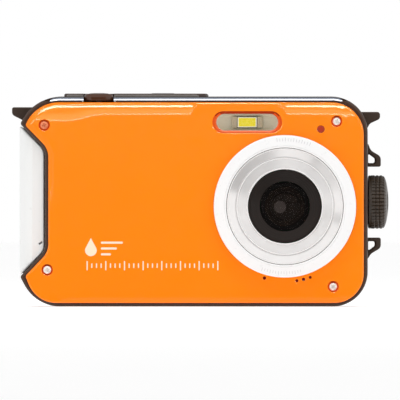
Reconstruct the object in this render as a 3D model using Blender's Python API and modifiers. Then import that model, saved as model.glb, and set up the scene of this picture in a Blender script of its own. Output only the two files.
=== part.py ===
"""A waterproof compact digital camera, 113 x 28 x 64 mm, as its separate pieces, at rest.

Blender's unit is the metre. Sizes and places below are in millimetres, and the helpers convert them.
X runs to the right of someone facing the lens, Y from the lens side to the screen side, and Z up.
The origin is in the middle of the base.
"""

import math

import bmesh
import bpy
from mathutils import Matrix, Vector

MM = 0.001
GAP = 0.3
SAME_POINT = 0.001

# Depths, along Y. Each casing stops short of the next by the gap.
COVER_FRONT = -12.5
COVER_BACK = -11.3
HOUSING_FRONT = -11.0
HOUSING_BACK = 9.35
REAR_COVER_FRONT = 9.65
REAR_COVER_BACK = 12.5
FRONT_WALL = 1.6
SIDE_WALL = 2.4
INNER_FRONT = HOUSING_FRONT + FRONT_WALL

# Outlines in X and Z: each corner and the radius that rounds it.
HOUSING_OUTLINE = (
    (51.5, 0.0, 12.4),
    (51.5, 63.1, 12.4),
    (-47.9, 63.1, 13.4),
    (-52.9, 54.9, 0.9),
    (-45.8, 47.1, 4.7),
    (-45.8, 16.8, 4.7),
    (-52.9, 9.0, 0.9),
    (-47.9, 0.0, 13.2),
)
COVER_OUTLINE = (
    (50.3, 1.1, 11.2),
    (50.3, 61.3, 11.2),
    (-48.0, 61.3, 10.8),
    (-51.3, 54.4, 1.0),
    (-44.4, 47.3, 6.0),
    (-44.4, 16.4, 6.0),
    (-51.3, 9.2, 1.0),
    (-48.0, 1.1, 10.8),
)
REAR_OUTLINE = ((51.5, 0.0, 12.4), (51.5, 63.1, 12.4), (-52.6, 63.1, 12.8), (-52.6, 0.0, 12.8))
GRIP_OUTLINE = ((-53.1, 54.7, 0.5), (-46.1, 47.0, 5.0), (-46.1, 16.9, 5.0), (-53.1, 9.2, 0.5))

# The lens and everything round it turns about one line, along Y.
LENS = (26.6, 30.1)
BEZEL_FRONT = -15.0
BEZEL_RADIUS = 21.35
BEZEL_BORE = 17.7
DISH_STEP = 14.3
HOOD_RADIUS = 10.9
GLASS_RADIUS = 7.6

FLASH = (15.3, 55.35)
TIMER_LAMP = (37.4, 53.25)
MICROPHONE = (20.5, 8.6)
SPEAKER = (32.2, 8.2)
SPEAKER_HOLES = ((30.2, 7.8), (32.2, 8.2), (34.2, 8.8))
SCREWS = {
    "upper_left": (-45.6, 54.45),
    "upper_right": (42.15, 55.6),
    "lower_left": (-44.7, 11.04),
    "lower_right": (41.1, 6.0),
}

# The side door and its lock: the knob turns about X, the door about a pin along Y.
KNOB = (-0.8, 31.4)
KNOB_RADIUS = 8.04
HINGE = (50.4, 12.1)
DOOR_INNER = 49.9
DOOR_OUTER = 51.5
DOOR_LAND = 49.0

TRIPOD = (8.0, 0.0)
SHUTTER_STEM = (-29.3, -3.2)
SHUTTER_X = (-33.7, -24.85)
POWER_BUTTON = (-10.0, 0.8)
BOARD_FRONT = -2.0
BOARD_BACK = -1.0

# The controls beside the screen, in X and Z.
ARROWS = (-32.5, 26.5)
ZOOM = (-32.5, 51.5)
MENU = (-38.7, 41.2)
PLAYBACK = (-26.3, 41.2)
CAP_BACK = 13.2
STEM_FRONT = 9.0
FLANGE_BACK = 9.35

TURNS = {
    "X": Matrix.Rotation(math.radians(90.0), 4, "Y"),
    "Y": Matrix.Rotation(math.radians(-90.0), 4, "X"),
    "Z": Matrix.Identity(4),
}
PLANES = {
    "XZ": Matrix.Rotation(math.radians(90.0), 4, "X"),
    "YZ": Matrix(((0, 0, 1, 0), (1, 0, 0, 0), (0, 1, 0, 0), (0, 0, 0, 1))),
    "XY": Matrix.Identity(4),
}
NORMALS = {"XZ": Vector((0, 1, 0)), "YZ": Vector((1, 0, 0)), "XY": Vector((0, 0, 1))}


def new_collection(name):
    collection = bpy.data.collections.new(name)
    bpy.context.scene.collection.children.link(collection)
    return collection


for leftover in list(bpy.data.objects):
    bpy.data.objects.remove(leftover)
PARTS = new_collection("waterproof_camera")
SHAPES = new_collection("cutters")


# ---------------------------------------------------------------- outlines


def rounded(corners, step=15.0):
    """The points of a closed outline whose corners are arcs, with a point every step degrees."""
    points = []
    for index, (a, b, radius) in enumerate(corners):
        here = Vector((a, b))
        back = (Vector(corners[index - 1][:2]) - here).normalized()
        ahead = (Vector(corners[(index + 1) % len(corners)][:2]) - here).normalized()
        half = back.angle(ahead) / 2
        centre = here + (back + ahead).normalized() * radius / math.sin(half)
        first = here + back * radius / math.tan(half) - centre
        last = here + ahead * radius / math.tan(half) - centre
        start = math.atan2(first.y, first.x)
        sweep = math.remainder(math.atan2(last.y, last.x) - start, math.tau)
        count = max(1, round(math.degrees(abs(sweep)) / step))
        for i in range(count + 1):
            angle = start + sweep * i / count
            points.append((centre.x + radius * math.cos(angle), centre.y + radius * math.sin(angle)))
    return [point for i, point in enumerate(points) if math.dist(point, points[i - 1]) > SAME_POINT]


def inset(corners, distance):
    """The corners of an outline moved in by a distance, or out by a negative one, arcs kept parallel."""
    places = [Vector(corner[:2]) for corner in corners]
    area = sum(p.cross(places[i - 1]) for i, p in enumerate(places))
    inward = 1.0 if area < 0 else -1.0
    moved = []
    for i, here in enumerate(places):
        before = (here - places[i - 1]).normalized()
        after = (places[(i + 1) % len(places)] - here).normalized()
        side_before = Vector((-before.y, before.x)) * inward
        side_after = Vector((-after.y, after.x)) * inward
        place = here + (side_before + side_after) / (1 + side_before.dot(side_after)) * distance
        bulges = before.cross(after) * inward > 0
        radius = corners[i][2] - distance if bulges else corners[i][2] + distance
        moved.append((place.x, place.y, max(radius, 0.2)))
    return moved


def rectangle(low, high, radius):
    """The corners of a rectangle between two opposite ones."""
    return (
        (low[0], low[1], radius),
        (high[0], low[1], radius),
        (high[0], high[1], radius),
        (low[0], high[1], radius),
    )


def obround(centre, length, width):
    """The corners of a slot shape with round ends."""
    low = (centre[0] - length / 2, centre[1] - width / 2)
    high = (centre[0] + length / 2, centre[1] + width / 2)
    return rectangle(low, high, width / 2)


def sector(inner, outer, middle, half_angle, count=6):
    """The points of a piece of a ring round the arrows' centre, facing an angle in degrees."""
    angles = [math.radians(middle + half_angle * (2 * i / count - 1)) for i in range(count + 1)]
    points = [(outer, angle) for angle in angles] + [(inner, angle) for angle in reversed(angles)]
    return [(ARROWS[0] + r * math.cos(a), ARROWS[1] + r * math.sin(a)) for r, a in points]


# ---------------------------------------------------------------- shapes


def add_shape(mesh, matrix=Matrix.Identity(4)):
    """An object that shapes others, or that becomes a part later."""
    obj = bpy.data.objects.new("shape", mesh)
    obj.matrix_world = matrix
    obj.hide_render = True
    obj.display_type = "WIRE"
    SHAPES.objects.link(obj)
    return obj


def mesh_from(bm, name):
    bmesh.ops.recalc_face_normals(bm, faces=bm.faces)
    mesh = bpy.data.meshes.new(name)
    bm.to_mesh(mesh)
    bm.free()
    return mesh


def block(low, high):
    """A box between two opposite corners."""
    bm = bmesh.new()
    bmesh.ops.create_cube(bm, size=1.0)
    size = Vector(high) - Vector(low)
    bmesh.ops.scale(bm, vec=size * MM, verts=bm.verts)
    bmesh.ops.translate(bm, vec=(Vector(low) + size / 2) * MM, verts=bm.verts)
    return add_shape(mesh_from(bm, "block"))


def on_axis(axis, along, at):
    """A place given by its distance along an axis and by its other two coordinates."""
    places = {"X": (along, *at), "Y": (at[0], along, at[1]), "Z": (*at, along)}
    return Vector(places[axis])


def rod(axis, radius, low, high, at, sides=24):
    """A round bar along an axis, from low to high, at the other two coordinates."""
    bm = bmesh.new()
    bmesh.ops.create_cone(
        bm,
        cap_ends=True,
        segments=sides,
        radius1=radius * MM,
        radius2=radius * MM,
        depth=(high - low) * MM,
    )
    place = Matrix.Translation(on_axis(axis, (low + high) / 2, at) * MM)
    return add_shape(mesh_from(bm, "rod"), place @ TURNS[axis])


def turned(axis, profile, at, sides=32, closed=True):
    """A shape turned about an axis, from (radius, place along it), down the outer side first."""
    bm = bmesh.new()
    points = [bm.verts.new((radius * MM, 0.0, along * MM)) for radius, along in profile]
    for i in range(len(points) if closed else len(points) - 1):
        bm.edges.new((points[i], points[(i + 1) % len(points)]))
    mesh = bpy.data.meshes.new("turned")
    bm.to_mesh(mesh)
    bm.free()
    obj = add_shape(mesh, Matrix.Translation(on_axis(axis, 0.0, at) * MM) @ TURNS[axis])
    screw = obj.modifiers.new("turn", "SCREW")
    screw.axis = "Z"
    screw.steps = sides
    screw.render_steps = sides
    screw.use_merge_vertices = True
    screw.merge_threshold = 0.00001
    return obj


def extruded(plane, loops, low, high):
    """A flat outline, with any further loops as its holes, extruded between two places."""
    curve = bpy.data.curves.new("outline", "CURVE")
    curve.dimensions = "2D"
    curve.fill_mode = "BOTH"
    curve.extrude = (high - low) / 2 * MM
    for loop in loops:
        spline = curve.splines.new("POLY")
        spline.points.add(len(loop) - 1)
        for point, (a, b) in zip(spline.points, loop):
            point.co = (a * MM, b * MM, 0.0, 1.0)
        spline.use_cyclic_u = True
    flat = bpy.data.objects.new("outline", curve)
    flat.matrix_world = Matrix.Translation(NORMALS[plane] * (low + high) / 2 * MM) @ PLANES[plane]
    SHAPES.objects.link(flat)
    bpy.context.view_layer.update()
    graph = bpy.context.evaluated_depsgraph_get()
    filled = bpy.data.meshes.new_from_object(flat.evaluated_get(graph))
    bm = bmesh.new()
    bm.from_mesh(filled)
    bmesh.ops.remove_doubles(bm, verts=bm.verts, dist=0.000001)
    solid = add_shape(mesh_from(bm, "extruded"), flat.matrix_world)
    bpy.data.objects.remove(flat)
    bpy.data.meshes.remove(filled)
    return solid


def combine(obj, operation, others):
    for other in others:
        modifier = obj.modifiers.new(operation.lower(), "BOOLEAN")
        modifier.operation = operation
        modifier.object = other
    return obj


def cut(obj, *others):
    return combine(obj, "DIFFERENCE", others)


def join(obj, *others):
    return combine(obj, "UNION", others)


def common(obj, *others):
    return combine(obj, "INTERSECT", others)


def round_edges(obj, axis, place, width, segments=3):
    """Rounds the edges that lie at one place along a world axis, such as a cover's front rim."""
    index = "XYZ".index(axis)
    mesh = obj.data
    at_place = [abs((obj.matrix_world @ v.co)[index] - place * MM) < 0.00001 for v in mesh.vertices]
    weights = mesh.attributes.new("bevel_weight_edge", "FLOAT", "EDGE")
    for edge in mesh.edges:
        weights.data[edge.index].value = float(all(at_place[v] for v in edge.vertices))
    bevel = obj.modifiers.new("rounding", "BEVEL")
    bevel.limit_method = "WEIGHT"
    bevel.width = width * MM
    bevel.segments = segments
    return obj


def soften(obj, width, segments=2):
    """Rounds every sharp edge."""
    bevel = obj.modifiers.new("softening", "BEVEL")
    bevel.limit_method = "ANGLE"
    bevel.width = width * MM
    bevel.segments = segments
    return obj


def material(name, colour, roughness, metallic=0.0, clear=0.0):
    made = bpy.data.materials.new(name)
    made.use_nodes = True
    shader = made.node_tree.nodes["Principled BSDF"]
    shader.inputs["Base Color"].default_value = (*colour, 1.0)
    shader.inputs["Roughness"].default_value = roughness
    shader.inputs["Metallic"].default_value = metallic
    shader.inputs["Transmission Weight"].default_value = clear
    return made


def finish(obj, name, colour, roughness, metallic=0.0, clear=0.0, pivot=None):
    """Makes a shape a part of the camera, with its material, and its origin on its joint's axis."""
    obj.name = name
    obj.data.name = name
    SHAPES.objects.unlink(obj)
    PARTS.objects.link(obj)
    obj.hide_render = False
    obj.display_type = "TEXTURED"
    if pivot is not None:
        moved = Matrix.Translation(Vector(pivot) * MM)
        obj.data.transform(moved.inverted() @ obj.matrix_world)
        obj.matrix_world = moved
    obj.data.materials.append(material(name, colour, roughness, metallic, clear))
    if obj.data.polygons:
        obj.data.shade_smooth()
        obj.data.set_sharp_from_angle(angle=math.radians(30.0))
    return obj


BLACK = (0.012, 0.011, 0.011)
ORANGE = (1.0, 0.26, 0.012)
SILVER = (0.62, 0.62, 0.61)
STEEL = (0.55, 0.55, 0.54)
RUBBER = (0.02, 0.02, 0.02)
GREEN = (0.02, 0.12, 0.05)
SMOKED = (0.05, 0.05, 0.06)


# ---------------------------------------------------------------- casings


def front_holes(clearance):
    """Cutters for all that passes through the front cover and the front wall."""
    low, high = COVER_FRONT - 1, INNER_FRONT + 1
    holes = [rod("Y", 1.1 + clearance, low, high, TIMER_LAMP, 20)]
    holes.append(rod("Y", 0.5, low, high, MICROPHONE, 12))
    holes.extend(rod("Y", 0.45, low, high, at, 12) for at in SPEAKER_HOLES)
    return holes


def door_frame():
    """The inner frame that the door seals on and that the latch catches behind."""
    return block((47.6, INNER_FRONT - 0.5, 9.5), (49.7, HOUSING_BACK, 53.5))


def door_cuts():
    """The door's recess, the opening behind it, and the hole of the hinge pin."""
    recess = ((-9.7, 10.7, 0.3), (8.1, 10.7, 0.3), (8.1, 52.3, 3.3), (-9.7, 52.3, 3.3))
    opening = rectangle((-7.6, 15.4), (6.0, 49.8), 1.5)
    return (
        extruded("YZ", [rounded(recess)], DOOR_LAND, DOOR_OUTER + 2),
        extruded("YZ", [rounded(opening, 30.0)], 46.0, DOOR_LAND + 0.5),
        rod("Y", 0.65, -10.6, 9.0, HINGE, 12),
    )


def main_housing():
    """A deep tray, open towards the screen: the lens side, the waist at the grip, and the top."""
    body = extruded("XZ", [rounded(HOUSING_OUTLINE)], HOUSING_FRONT, HOUSING_BACK)
    hollow = rounded(inset(HOUSING_OUTLINE, SIDE_WALL))
    cut(body, extruded("XZ", [hollow], INNER_FRONT, HOUSING_BACK + 1))
    bosses = [rod("Y", 2.4, INNER_FRONT - 0.5, -6.5, at, 16) for at in SCREWS.values()]
    top_rib = block((-43.0, INNER_FRONT - 0.5, 58.9), (43.0, -4.4, 61.2))
    shutter_boss = block((-36.0, INNER_FRONT - 0.5, 58.7), (-22.6, 3.8, 61.3))
    tripod_boss = rod("Z", 7.3, 1.0, 6.5, TRIPOD)
    join(body, *bosses, top_rib, shutter_boss, tripod_boss, door_frame())
    cut(body, *door_cuts(), *front_holes(0.3))
    cut(body, *[rod("Y", 1.0, HOUSING_FRONT - 1, -7.5, at, 16) for at in SCREWS.values()])
    cut(body, rod("Y", HOOD_RADIUS + GAP, HOUSING_FRONT - 1, INNER_FRONT + 1, LENS, 48))
    flash_hole = rounded(obround(FLASH, 19.7, 5.7), 30.0)
    cut(body, extruded("XZ", [flash_hole], HOUSING_FRONT - 1, INNER_FRONT + 1))
    cut(body, rod("Z", 5.8, -1.0, 8.0, TRIPOD, 32))
    cut(
        body,
        block((-50.0, -10.3, 60.5), (50.0, -5.0, 65.0)),
        block((-50.0, HOUSING_FRONT - 1, 61.7), (50.0, -9.8, 65.0)),
        block((-34.05, HOUSING_FRONT - 1, 61.0), (-24.5, 2.1, 65.0)),
        rod("Z", 1.9, 57.0, 62.0, SHUTTER_STEM, 16),
        rod("Z", 1.6, 57.0, 64.0, POWER_BUTTON, 16),
    )
    pad_recess = rectangle((-40.0, -4.9), (4.0, 5.3), 1.3)
    cut(body, extruded("XY", [rounded(pad_recess, 30.0)], 62.4, 65.0))
    finish(body, "main_housing", BLACK, 0.25)


def front_cover():
    """The coloured plate on the lens side."""
    plate = extruded("XZ", [rounded(COVER_OUTLINE)], COVER_FRONT, COVER_BACK)
    round_edges(plate, "Y", COVER_FRONT, 0.4, 2)
    cut(plate, rod("Y", 20.0, COVER_FRONT - 1, COVER_BACK + 1, LENS, 48))
    window = rounded(obround(FLASH, 21.1, 6.75), 22.5)
    cut(plate, extruded("XZ", [window], COVER_FRONT - 1, COVER_BACK + 1))
    cut(plate, *front_holes(0.3))
    for at in SCREWS.values():
        cut(plate, rod("Y", 1.65, COVER_FRONT - 1, -11.7, at, 20))
        cut(plate, rod("Y", 1.0, COVER_FRONT - 1, COVER_BACK + 1, at, 16))
    finish(plate, "front_cover", ORANGE, 0.22)


def rear_cover():
    """The screen-side casing, with the screen's window, the controls' holes and the seal's groove."""
    shell = extruded("XZ", [rounded(REAR_OUTLINE)], REAR_COVER_FRONT, REAR_COVER_BACK)
    round_edges(shell, "Y", REAR_COVER_BACK, 1.8)
    through = (REAR_COVER_FRONT - 1, REAR_COVER_BACK + 1)
    groove = [rounded(inset(HOUSING_OUTLINE, distance)) for distance in (0.8, 2.1)]
    pocket = rounded(rectangle((-17.0, 7.3), (47.0, 56.2), 2.0), 30.0)
    view = rounded(rectangle((-12.0, 11.0), (42.5, 52.5), 0.8), 45.0)
    cut(
        shell,
        extruded("XZ", groove[:2], REAR_COVER_FRONT - 1, 10.75),
        extruded("XZ", [pocket], 11.5, REAR_COVER_BACK + 1),
        extruded("XZ", [view], *through),
        rod("Y", 3.95, *through, ARROWS, 24),
        rod("Y", 3.35, *through, MENU, 24),
        rod("Y", 3.35, *through, PLAYBACK, 24),
    )
    rocker_hole = rounded(obround(ZOOM, 15.8, 6.8), 30.0)
    cut(shell, extruded("XZ", [rocker_hole], *through))
    for middle in (0, 90, 180, 270):
        cut(shell, extruded("XZ", [sector(4.65, 9.35, middle, 41.5)], *through))
    finish(shell, "rear_cover", BLACK, 0.3)


def body_seal():
    """The gasket that keeps water out between the housing and the rear cover."""
    loops = [rounded(inset(HOUSING_OUTLINE, distance)) for distance in (1.1, 1.8)]
    finish(extruded("XZ", loops, 9.65, 10.45), "body_seal", (0.5, 0.12, 0.05), 0.6)


def top_trim():
    """The bright strip along the front of the top, notched for the shutter button."""
    strip = extruded("XZ", [rounded(HOUSING_OUTLINE)], -10.8, -5.3)
    section = block((-44.7, -10.0, 60.8), (44.7, -5.0, 64.0))
    join(section, block((-44.7, -11.0, 62.0), (44.7, -9.5, 64.0)))
    common(strip, section)
    cut(strip, block((-34.05, -12.0, 61.2), (-24.5, 0.0, 65.0)))
    finish(strip, "top_trim", (0.85, 0.85, 0.84), 0.12, 1.0)


def top_pad():
    """The low dark panel on the top that holds the two buttons."""
    outline = (
        (-39.7, -4.6, 1.0),
        (3.7, -4.6, 4.0),
        (3.7, 5.0, 4.0),
        (-39.7, 5.0, 1.0),
    )
    pad = extruded("XY", [rounded(outline, 30.0)], 62.7, 64.0)
    round_edges(pad, "Z", 64.0, 0.4, 2)
    cut(pad, block((-34.05, -6.0, 62.0), (-24.5, 2.1, 65.0)))
    cut(pad, extruded("XY", [rounded(obround(POWER_BUTTON, 7.6, 5.0), 30.0)], 62.0, 65.0))
    finish(pad, "top_pad", (0.03, 0.015, 0.01), 0.3)


def grip_panel():
    """The pale panel in the waist. It swells out sideways from the front edge and back in a little."""
    side, middle_y, reach, front_half, back_half = -53.1, -0.5, 7.2, 9.9, 9.8
    front = []
    for i in range(9):
        angle = math.radians(90.0 * (1 - i / 8))
        front.append((side + reach * (1 - math.cos(angle)), middle_y - front_half * math.sin(angle)))
    back = [(side + 1.5 * (i / 4) ** 2, middle_y + back_half * i / 4) for i in range(1, 5)]
    swell = [(-42.0, front[0][1])] + front + back + [(-42.0, back[-1][1])]
    panel = extruded("XZ", [rounded(GRIP_OUTLINE)], -11.0, 9.3)
    common(panel, extruded("XY", [swell], 0.0, 64.0))
    finish(panel, "grip_panel", (0.7, 0.7, 0.69), 0.35)


def strap_lug(name, corners, slot):
    """A loop for a wrist strap, outside the housing's corner."""
    lug = extruded("XZ", [rounded(corners, 30.0)], -3.0, 5.0)
    cut(lug, extruded("XZ", [rounded(inset(HOUSING_OUTLINE, -GAP))], -4.0, 6.0))
    cut(lug, block((slot[0], -1.5, 50.0), (slot[1], 3.5, 62.0)))
    finish(lug, name, BLACK, 0.4)


def strap_lugs():
    left = ((-46.0, 59.9, 0.1), (-55.2, 59.9, 0.5), (-55.2, 57.4, 1.0), (-54.0, 56.3, 0.6), (-46.0, 56.3, 0.1))
    right = ((46.0, 58.5, 0.1), (55.1, 58.5, 0.5), (55.1, 56.2, 0.7), (51.0, 53.6, 1.2), (46.0, 53.0, 0.1))
    strap_lug("strap_lug_left", left, (-54.0, -51.3))
    strap_lug("strap_lug_right", right, (51.3, 53.9))


def tripod_bush():
    """A blind metal bush for a tripod screw, flush with the base."""
    profile = ((0.0, 7.0), (5.5, 7.0), (5.5, 0.0), (3.0, 0.0), (3.0, 6.0), (0.0, 6.0))
    finish(turned("Z", profile, TRIPOD, 32, closed=False), "tripod_bush", STEEL, 0.3, 1.0)


def front_screws():
    """The four cross-head screws of the front cover."""
    profile = ((0.0, -8.2), (0.7, -8.2), (0.7, -12.0), (1.35, -12.0), (1.35, -12.3), (1.1, -12.5), (0.0, -12.5))
    for corner, at in SCREWS.items():
        screw = turned("Y", profile, at, 16, closed=False)
        for half_x, half_z in ((0.75, 0.16), (0.16, 0.75)):
            low = (at[0] - half_x, -13.0, at[1] - half_z)
            high = (at[0] + half_x, -12.15, at[1] + half_z)
            cut(screw, block(low, high))
        finish(screw, "front_screw_" + corner, SILVER, 0.2, 1.0)


# ---------------------------------------------------------------- lens


def lens_bezel():
    front = BEZEL_FRONT
    profile = (
        (BEZEL_BORE, COVER_BACK),
        (19.6, COVER_BACK),
        (19.6, COVER_FRONT - GAP),
        (BEZEL_RADIUS, COVER_FRONT - GAP),
        (BEZEL_RADIUS, front + 0.4),
        (BEZEL_RADIUS - 0.4, front),
        (BEZEL_BORE + 0.2, front),
        (BEZEL_BORE, front + 0.2),
    )
    finish(turned("Y", profile, LENS, 48), "lens_bezel", (0.75, 0.75, 0.74), 0.3, 0.6)


def lens_dish():
    """The two-step cone between the bezel and the hood."""
    profile = (
        (11.2, -11.9),
        (BEZEL_BORE - GAP, COVER_BACK),
        (BEZEL_BORE - GAP, -14.6),
        (DISH_STEP, -13.5),
        (11.2, -13.1),
    )
    finish(turned("Y", profile, LENS, 48), "lens_dish", SILVER, 0.25, 1.0)


def lens_hood():
    """The black funnel in front of the glass, which passes through the housing's front wall."""
    profile = (
        (7.9, -8.8),
        (HOOD_RADIUS, -8.8),
        (HOOD_RADIUS, -13.3),
        (10.5, -13.3),
        (7.4, -11.7),
        (7.9, -11.7),
    )
    finish(turned("Y", profile, LENS, 40), "lens_hood", BLACK, 0.55)


def lens_barrel():
    profile = ((3.9, -5.3), (6.0, -5.3), (6.0, -9.9), (4.7, -9.9), (4.7, -7.9), (3.9, -7.9))
    finish(turned("Y", profile, LENS, 28), "lens_barrel", BLACK, 0.4)


def lens_holder():
    """The mount on the main board that carries the lens barrel over the image sensor."""
    x, z = LENS
    base = block((x - 7.0, -5.0, z - 7.0), (x + 7.0, BOARD_FRONT - GAP, z + 7.0))
    join(base, rod("Y", 7.2, -7.8, -4.5, LENS, 28))
    cut(
        base,
        rod("Y", 6.3, -8.5, -5.0, LENS, 28),
        block((x - 4.5, -4.3, z - 4.0), (x + 4.5, -1.0, z + 4.0)),
        block((x - 3.2, -6.0, z - 2.5), (x + 3.2, -4.0, z + 2.5)),
    )
    finish(base, "lens_holder", BLACK, 0.5)


def optics():
    x, z = LENS
    glass = rod("Y", GLASS_RADIUS, -11.4, -10.4, LENS, 32)
    finish(glass, "lens_glass", SMOKED, 0.02, clear=1.0)
    dome = ((0.0, -8.2), (4.4, -8.2), (4.4, -9.0), (3.2, -9.4), (1.6, -9.6), (0.0, -9.65))
    finish(turned("Y", dome, LENS, 24, closed=False), "lens_element", SMOKED, 0.02, clear=1.0)
    ir_filter = block((x - 4.0, -4.0, z - 3.5), (x + 4.0, -3.5, z + 3.5))
    finish(ir_filter, "infrared_filter", (0.2, 0.5, 0.55), 0.05, clear=1.0)
    sensor = block((x - 3.7, -3.2, z - 3.2), (x + 3.7, BOARD_FRONT - GAP, z + 3.2))
    finish(sensor, "image_sensor", (0.1, 0.1, 0.12), 0.2)


# ---------------------------------------------------------------- front details


def flash():
    """The flash's clear window, its bright tray, and the lamp chip in the tray."""
    x, z = FLASH
    window = extruded("XZ", [rounded(obround(FLASH, 20.5, 6.15), 22.5)], -11.9, COVER_BACK)
    finish(window, "flash_window", (0.85, 0.88, 0.85), 0.1, clear=1.0)
    tray = extruded("XZ", [rounded(obround(FLASH, 19.1, 5.1), 30.0)], -10.9, -7.4)
    cut(tray, extruded("XZ", [rounded(obround(FLASH, 18.1, 4.1), 30.0)], -12.0, -8.0))
    finish(tray, "flash_reflector", SILVER, 0.2, 1.0)
    chip = block((x - 2.8, -9.0, z - 1.42), (x + 2.8, -8.3, z + 1.42))
    finish(chip, "flash_led", (0.95, 0.75, 0.05), 0.4)


def timer_lamp():
    finish(rod("Y", 1.1, -12.6, -7.5, TIMER_LAMP, 20), "timer_lamp", (0.45, 0.05, 0.02), 0.2)


def sound_parts():
    finish(rod("Y", 2.0, -9.1, -7.4, MICROPHONE, 20), "microphone", STEEL, 0.4, 1.0)
    finish(rod("Y", 5.2, -9.1, -6.6, SPEAKER, 28), "speaker", BLACK, 0.5)


# ---------------------------------------------------------------- inside


def boards():
    main = block((-34.0, BOARD_FRONT, 8.0), (42.0, BOARD_BACK, 57.0))
    finish(main, "main_board", GREEN, 0.4)
    processor = block((-8.0, -3.6, 28.0), (4.0, BOARD_FRONT - GAP, 40.0))
    finish(processor, "processor", BLACK, 0.4)
    keypad = block((-42.9, 7.4, 12.0), (-19.5, 8.2, 57.0))
    finish(keypad, "keypad_board", GREEN, 0.4)
    shutter_switch = block((-32.0, -5.3, 54.0), (-26.6, BOARD_FRONT - GAP, 57.0))
    finish(shutter_switch, "shutter_switch", STEEL, 0.35, 1.0)
    power_switch = block((-12.7, BOARD_BACK + GAP, 54.0), (-7.3, 2.3, 57.0))
    finish(power_switch, "power_switch", STEEL, 0.35, 1.0)


def screen():
    panel = block((-14.5, 7.3, 9.5), (44.6, 9.3, 54.2))
    finish(panel, "lcd_panel", (0.02, 0.02, 0.025), 0.2)
    window = extruded("XZ", [rounded(rectangle((-16.7, 7.6), (46.7, 55.9), 1.7), 30.0)], 11.8, 12.5)
    finish(window, "lcd_window", SMOKED, 0.03, clear=1.0)


def battery_bay():
    """The battery in its sleeve, with the contact block at its inner end."""
    sleeve = block((2.4, -0.7, 14.8), (43.7, 6.9, 48.7))
    cut(
        sleeve,
        block((3.2, -0.1, 15.6), (46.0, 6.1, 47.9)),
        block((1.0, 1.2, 23.7), (4.0, 4.8, 40.0)),
    )
    finish(sleeve, "battery_holder", BLACK, 0.5)
    battery = soften(block((4.0, 0.2, 15.9), (44.0, 5.8, 47.6)), 0.8)
    finish(battery, "battery", (0.35, 0.36, 0.38), 0.4)
    contact = block((1.4, 1.5, 24.0), (3.7, 4.5, 39.7))
    finish(contact, "battery_contact", (0.6, 0.45, 0.15), 0.35, 1.0)


def battery_catch():
    """The sprung lever over the battery's outer end. It slides towards the front to free it."""
    finger = block((44.3, -3.4, 27.5), (45.5, 1.3, 36.0))
    join(finger, block((42.3, -3.4, 29.0), (44.6, -1.3, 34.0)))
    finish(finger, "battery_catch", (0.75, 0.3, 0.02), 0.4, pivot=(44.9, -1.0, 31.75))


def sockets():
    cage = block((27.0, -4.3, 38.0), (42.0, BOARD_FRONT - GAP, 50.0))
    cut(cage, block((27.8, -4.0, 38.2), (44.0, -2.6, 49.8)))
    finish(cage, "card_socket", STEEL, 0.3, 1.0)
    card = extruded("XZ", [rounded(rectangle((28.9, 38.5), (43.9, 49.5), 0.6), 45.0)], -3.65, -2.95)
    finish(card, "memory_card", BLACK, 0.35, pivot=(36.4, -3.3, 44.0))
    x, y_low, y_high = 42.8, -5.1, BOARD_FRONT - GAP
    port = block((37.2, y_low, 16.2), (x, y_high, 23.8))
    cut(port, block((38.0, y_low + 0.4, 16.6), (x + 1, y_high - 0.4, 23.4)))
    join(port, block((37.5, -4.0, 17.6), (x - 0.4, -3.4, 22.4)))
    finish(port, "usb_port", STEEL, 0.3, 1.0)


# ---------------------------------------------------------------- buttons


def shutter_button():
    low = (SHUTTER_X[0], -10.6, 61.95)
    button = block(low, (SHUTTER_X[1], 1.8, 64.3))
    round_edges(button, "Z", 64.3, 0.9, 3)
    join(button, rod("Z", 1.6, 57.9, 62.3, SHUTTER_STEM, 16))
    finish(button, "shutter_button", (0.035, 0.025, 0.02), 0.3, pivot=on_axis("Z", 62.0, SHUTTER_STEM))


def power_button():
    button = extruded("XY", [rounded(obround(POWER_BUTTON, 7.0, 4.4), 30.0)], 63.1, 64.15)
    join(button, rod("Z", 1.3, 57.6, 63.5, POWER_BUTTON, 16))
    finish(button, "power_button", (0.4, 0.4, 0.4), 0.3, 1.0, pivot=on_axis("Z", 63.1, POWER_BUTTON))


def round_button(name, at, radius):
    """A round key with a flange that keeps it behind the rear cover."""
    profile = (
        (0.0, CAP_BACK),
        (radius - 0.4, CAP_BACK),
        (radius, CAP_BACK - 0.4),
        (radius, FLANGE_BACK),
        (radius + 0.6, FLANGE_BACK),
        (radius + 0.6, STEM_FRONT),
        (0.0, STEM_FRONT),
    )
    finish(turned("Y", profile, at, 24, closed=False), name, SILVER, 0.3, 0.8)


def arrow_button(name, middle):
    """One quarter of the ring of keys, with its flange."""
    key = extruded("XZ", [sector(5.0, 9.0, middle, 38.0)], STEM_FRONT, CAP_BACK - 0.2)
    join(key, extruded("XZ", [sector(4.75, 9.5, middle, 40.0)], STEM_FRONT - 0.1, FLANGE_BACK))
    angle = math.radians(middle)
    centre = (ARROWS[0] + 7.0 * math.cos(angle), 11.0, ARROWS[1] + 7.0 * math.sin(angle))
    finish(key, name, BLACK, 0.3, pivot=centre)


def rear_buttons():
    round_button("ok_button", ARROWS, 3.6)
    round_button("menu_button", MENU, 3.0)
    round_button("playback_button", PLAYBACK, 3.0)
    for name, middle in (("right", 180), ("up", 90), ("left", 0), ("down", 270)):
        arrow_button(name + "_button", middle)


def zoom_rocker():
    """A key that tips to either side about an upright line."""
    rocker = extruded("XZ", [rounded(obround(ZOOM, 15.0, 6.0), 22.5)], 10.2, 13.3)
    round_edges(rocker, "Y", 13.3, 0.5, 2)
    join(rocker, block((ZOOM[0] - 1.0, 8.9, ZOOM[1] - 1.5), (ZOOM[0] + 1.0, 10.6, ZOOM[1] + 1.5)))
    finish(rocker, "zoom_rocker", SILVER, 0.3, 0.8, pivot=(ZOOM[0], 10.4, ZOOM[1]))


# ---------------------------------------------------------------- side door


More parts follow.
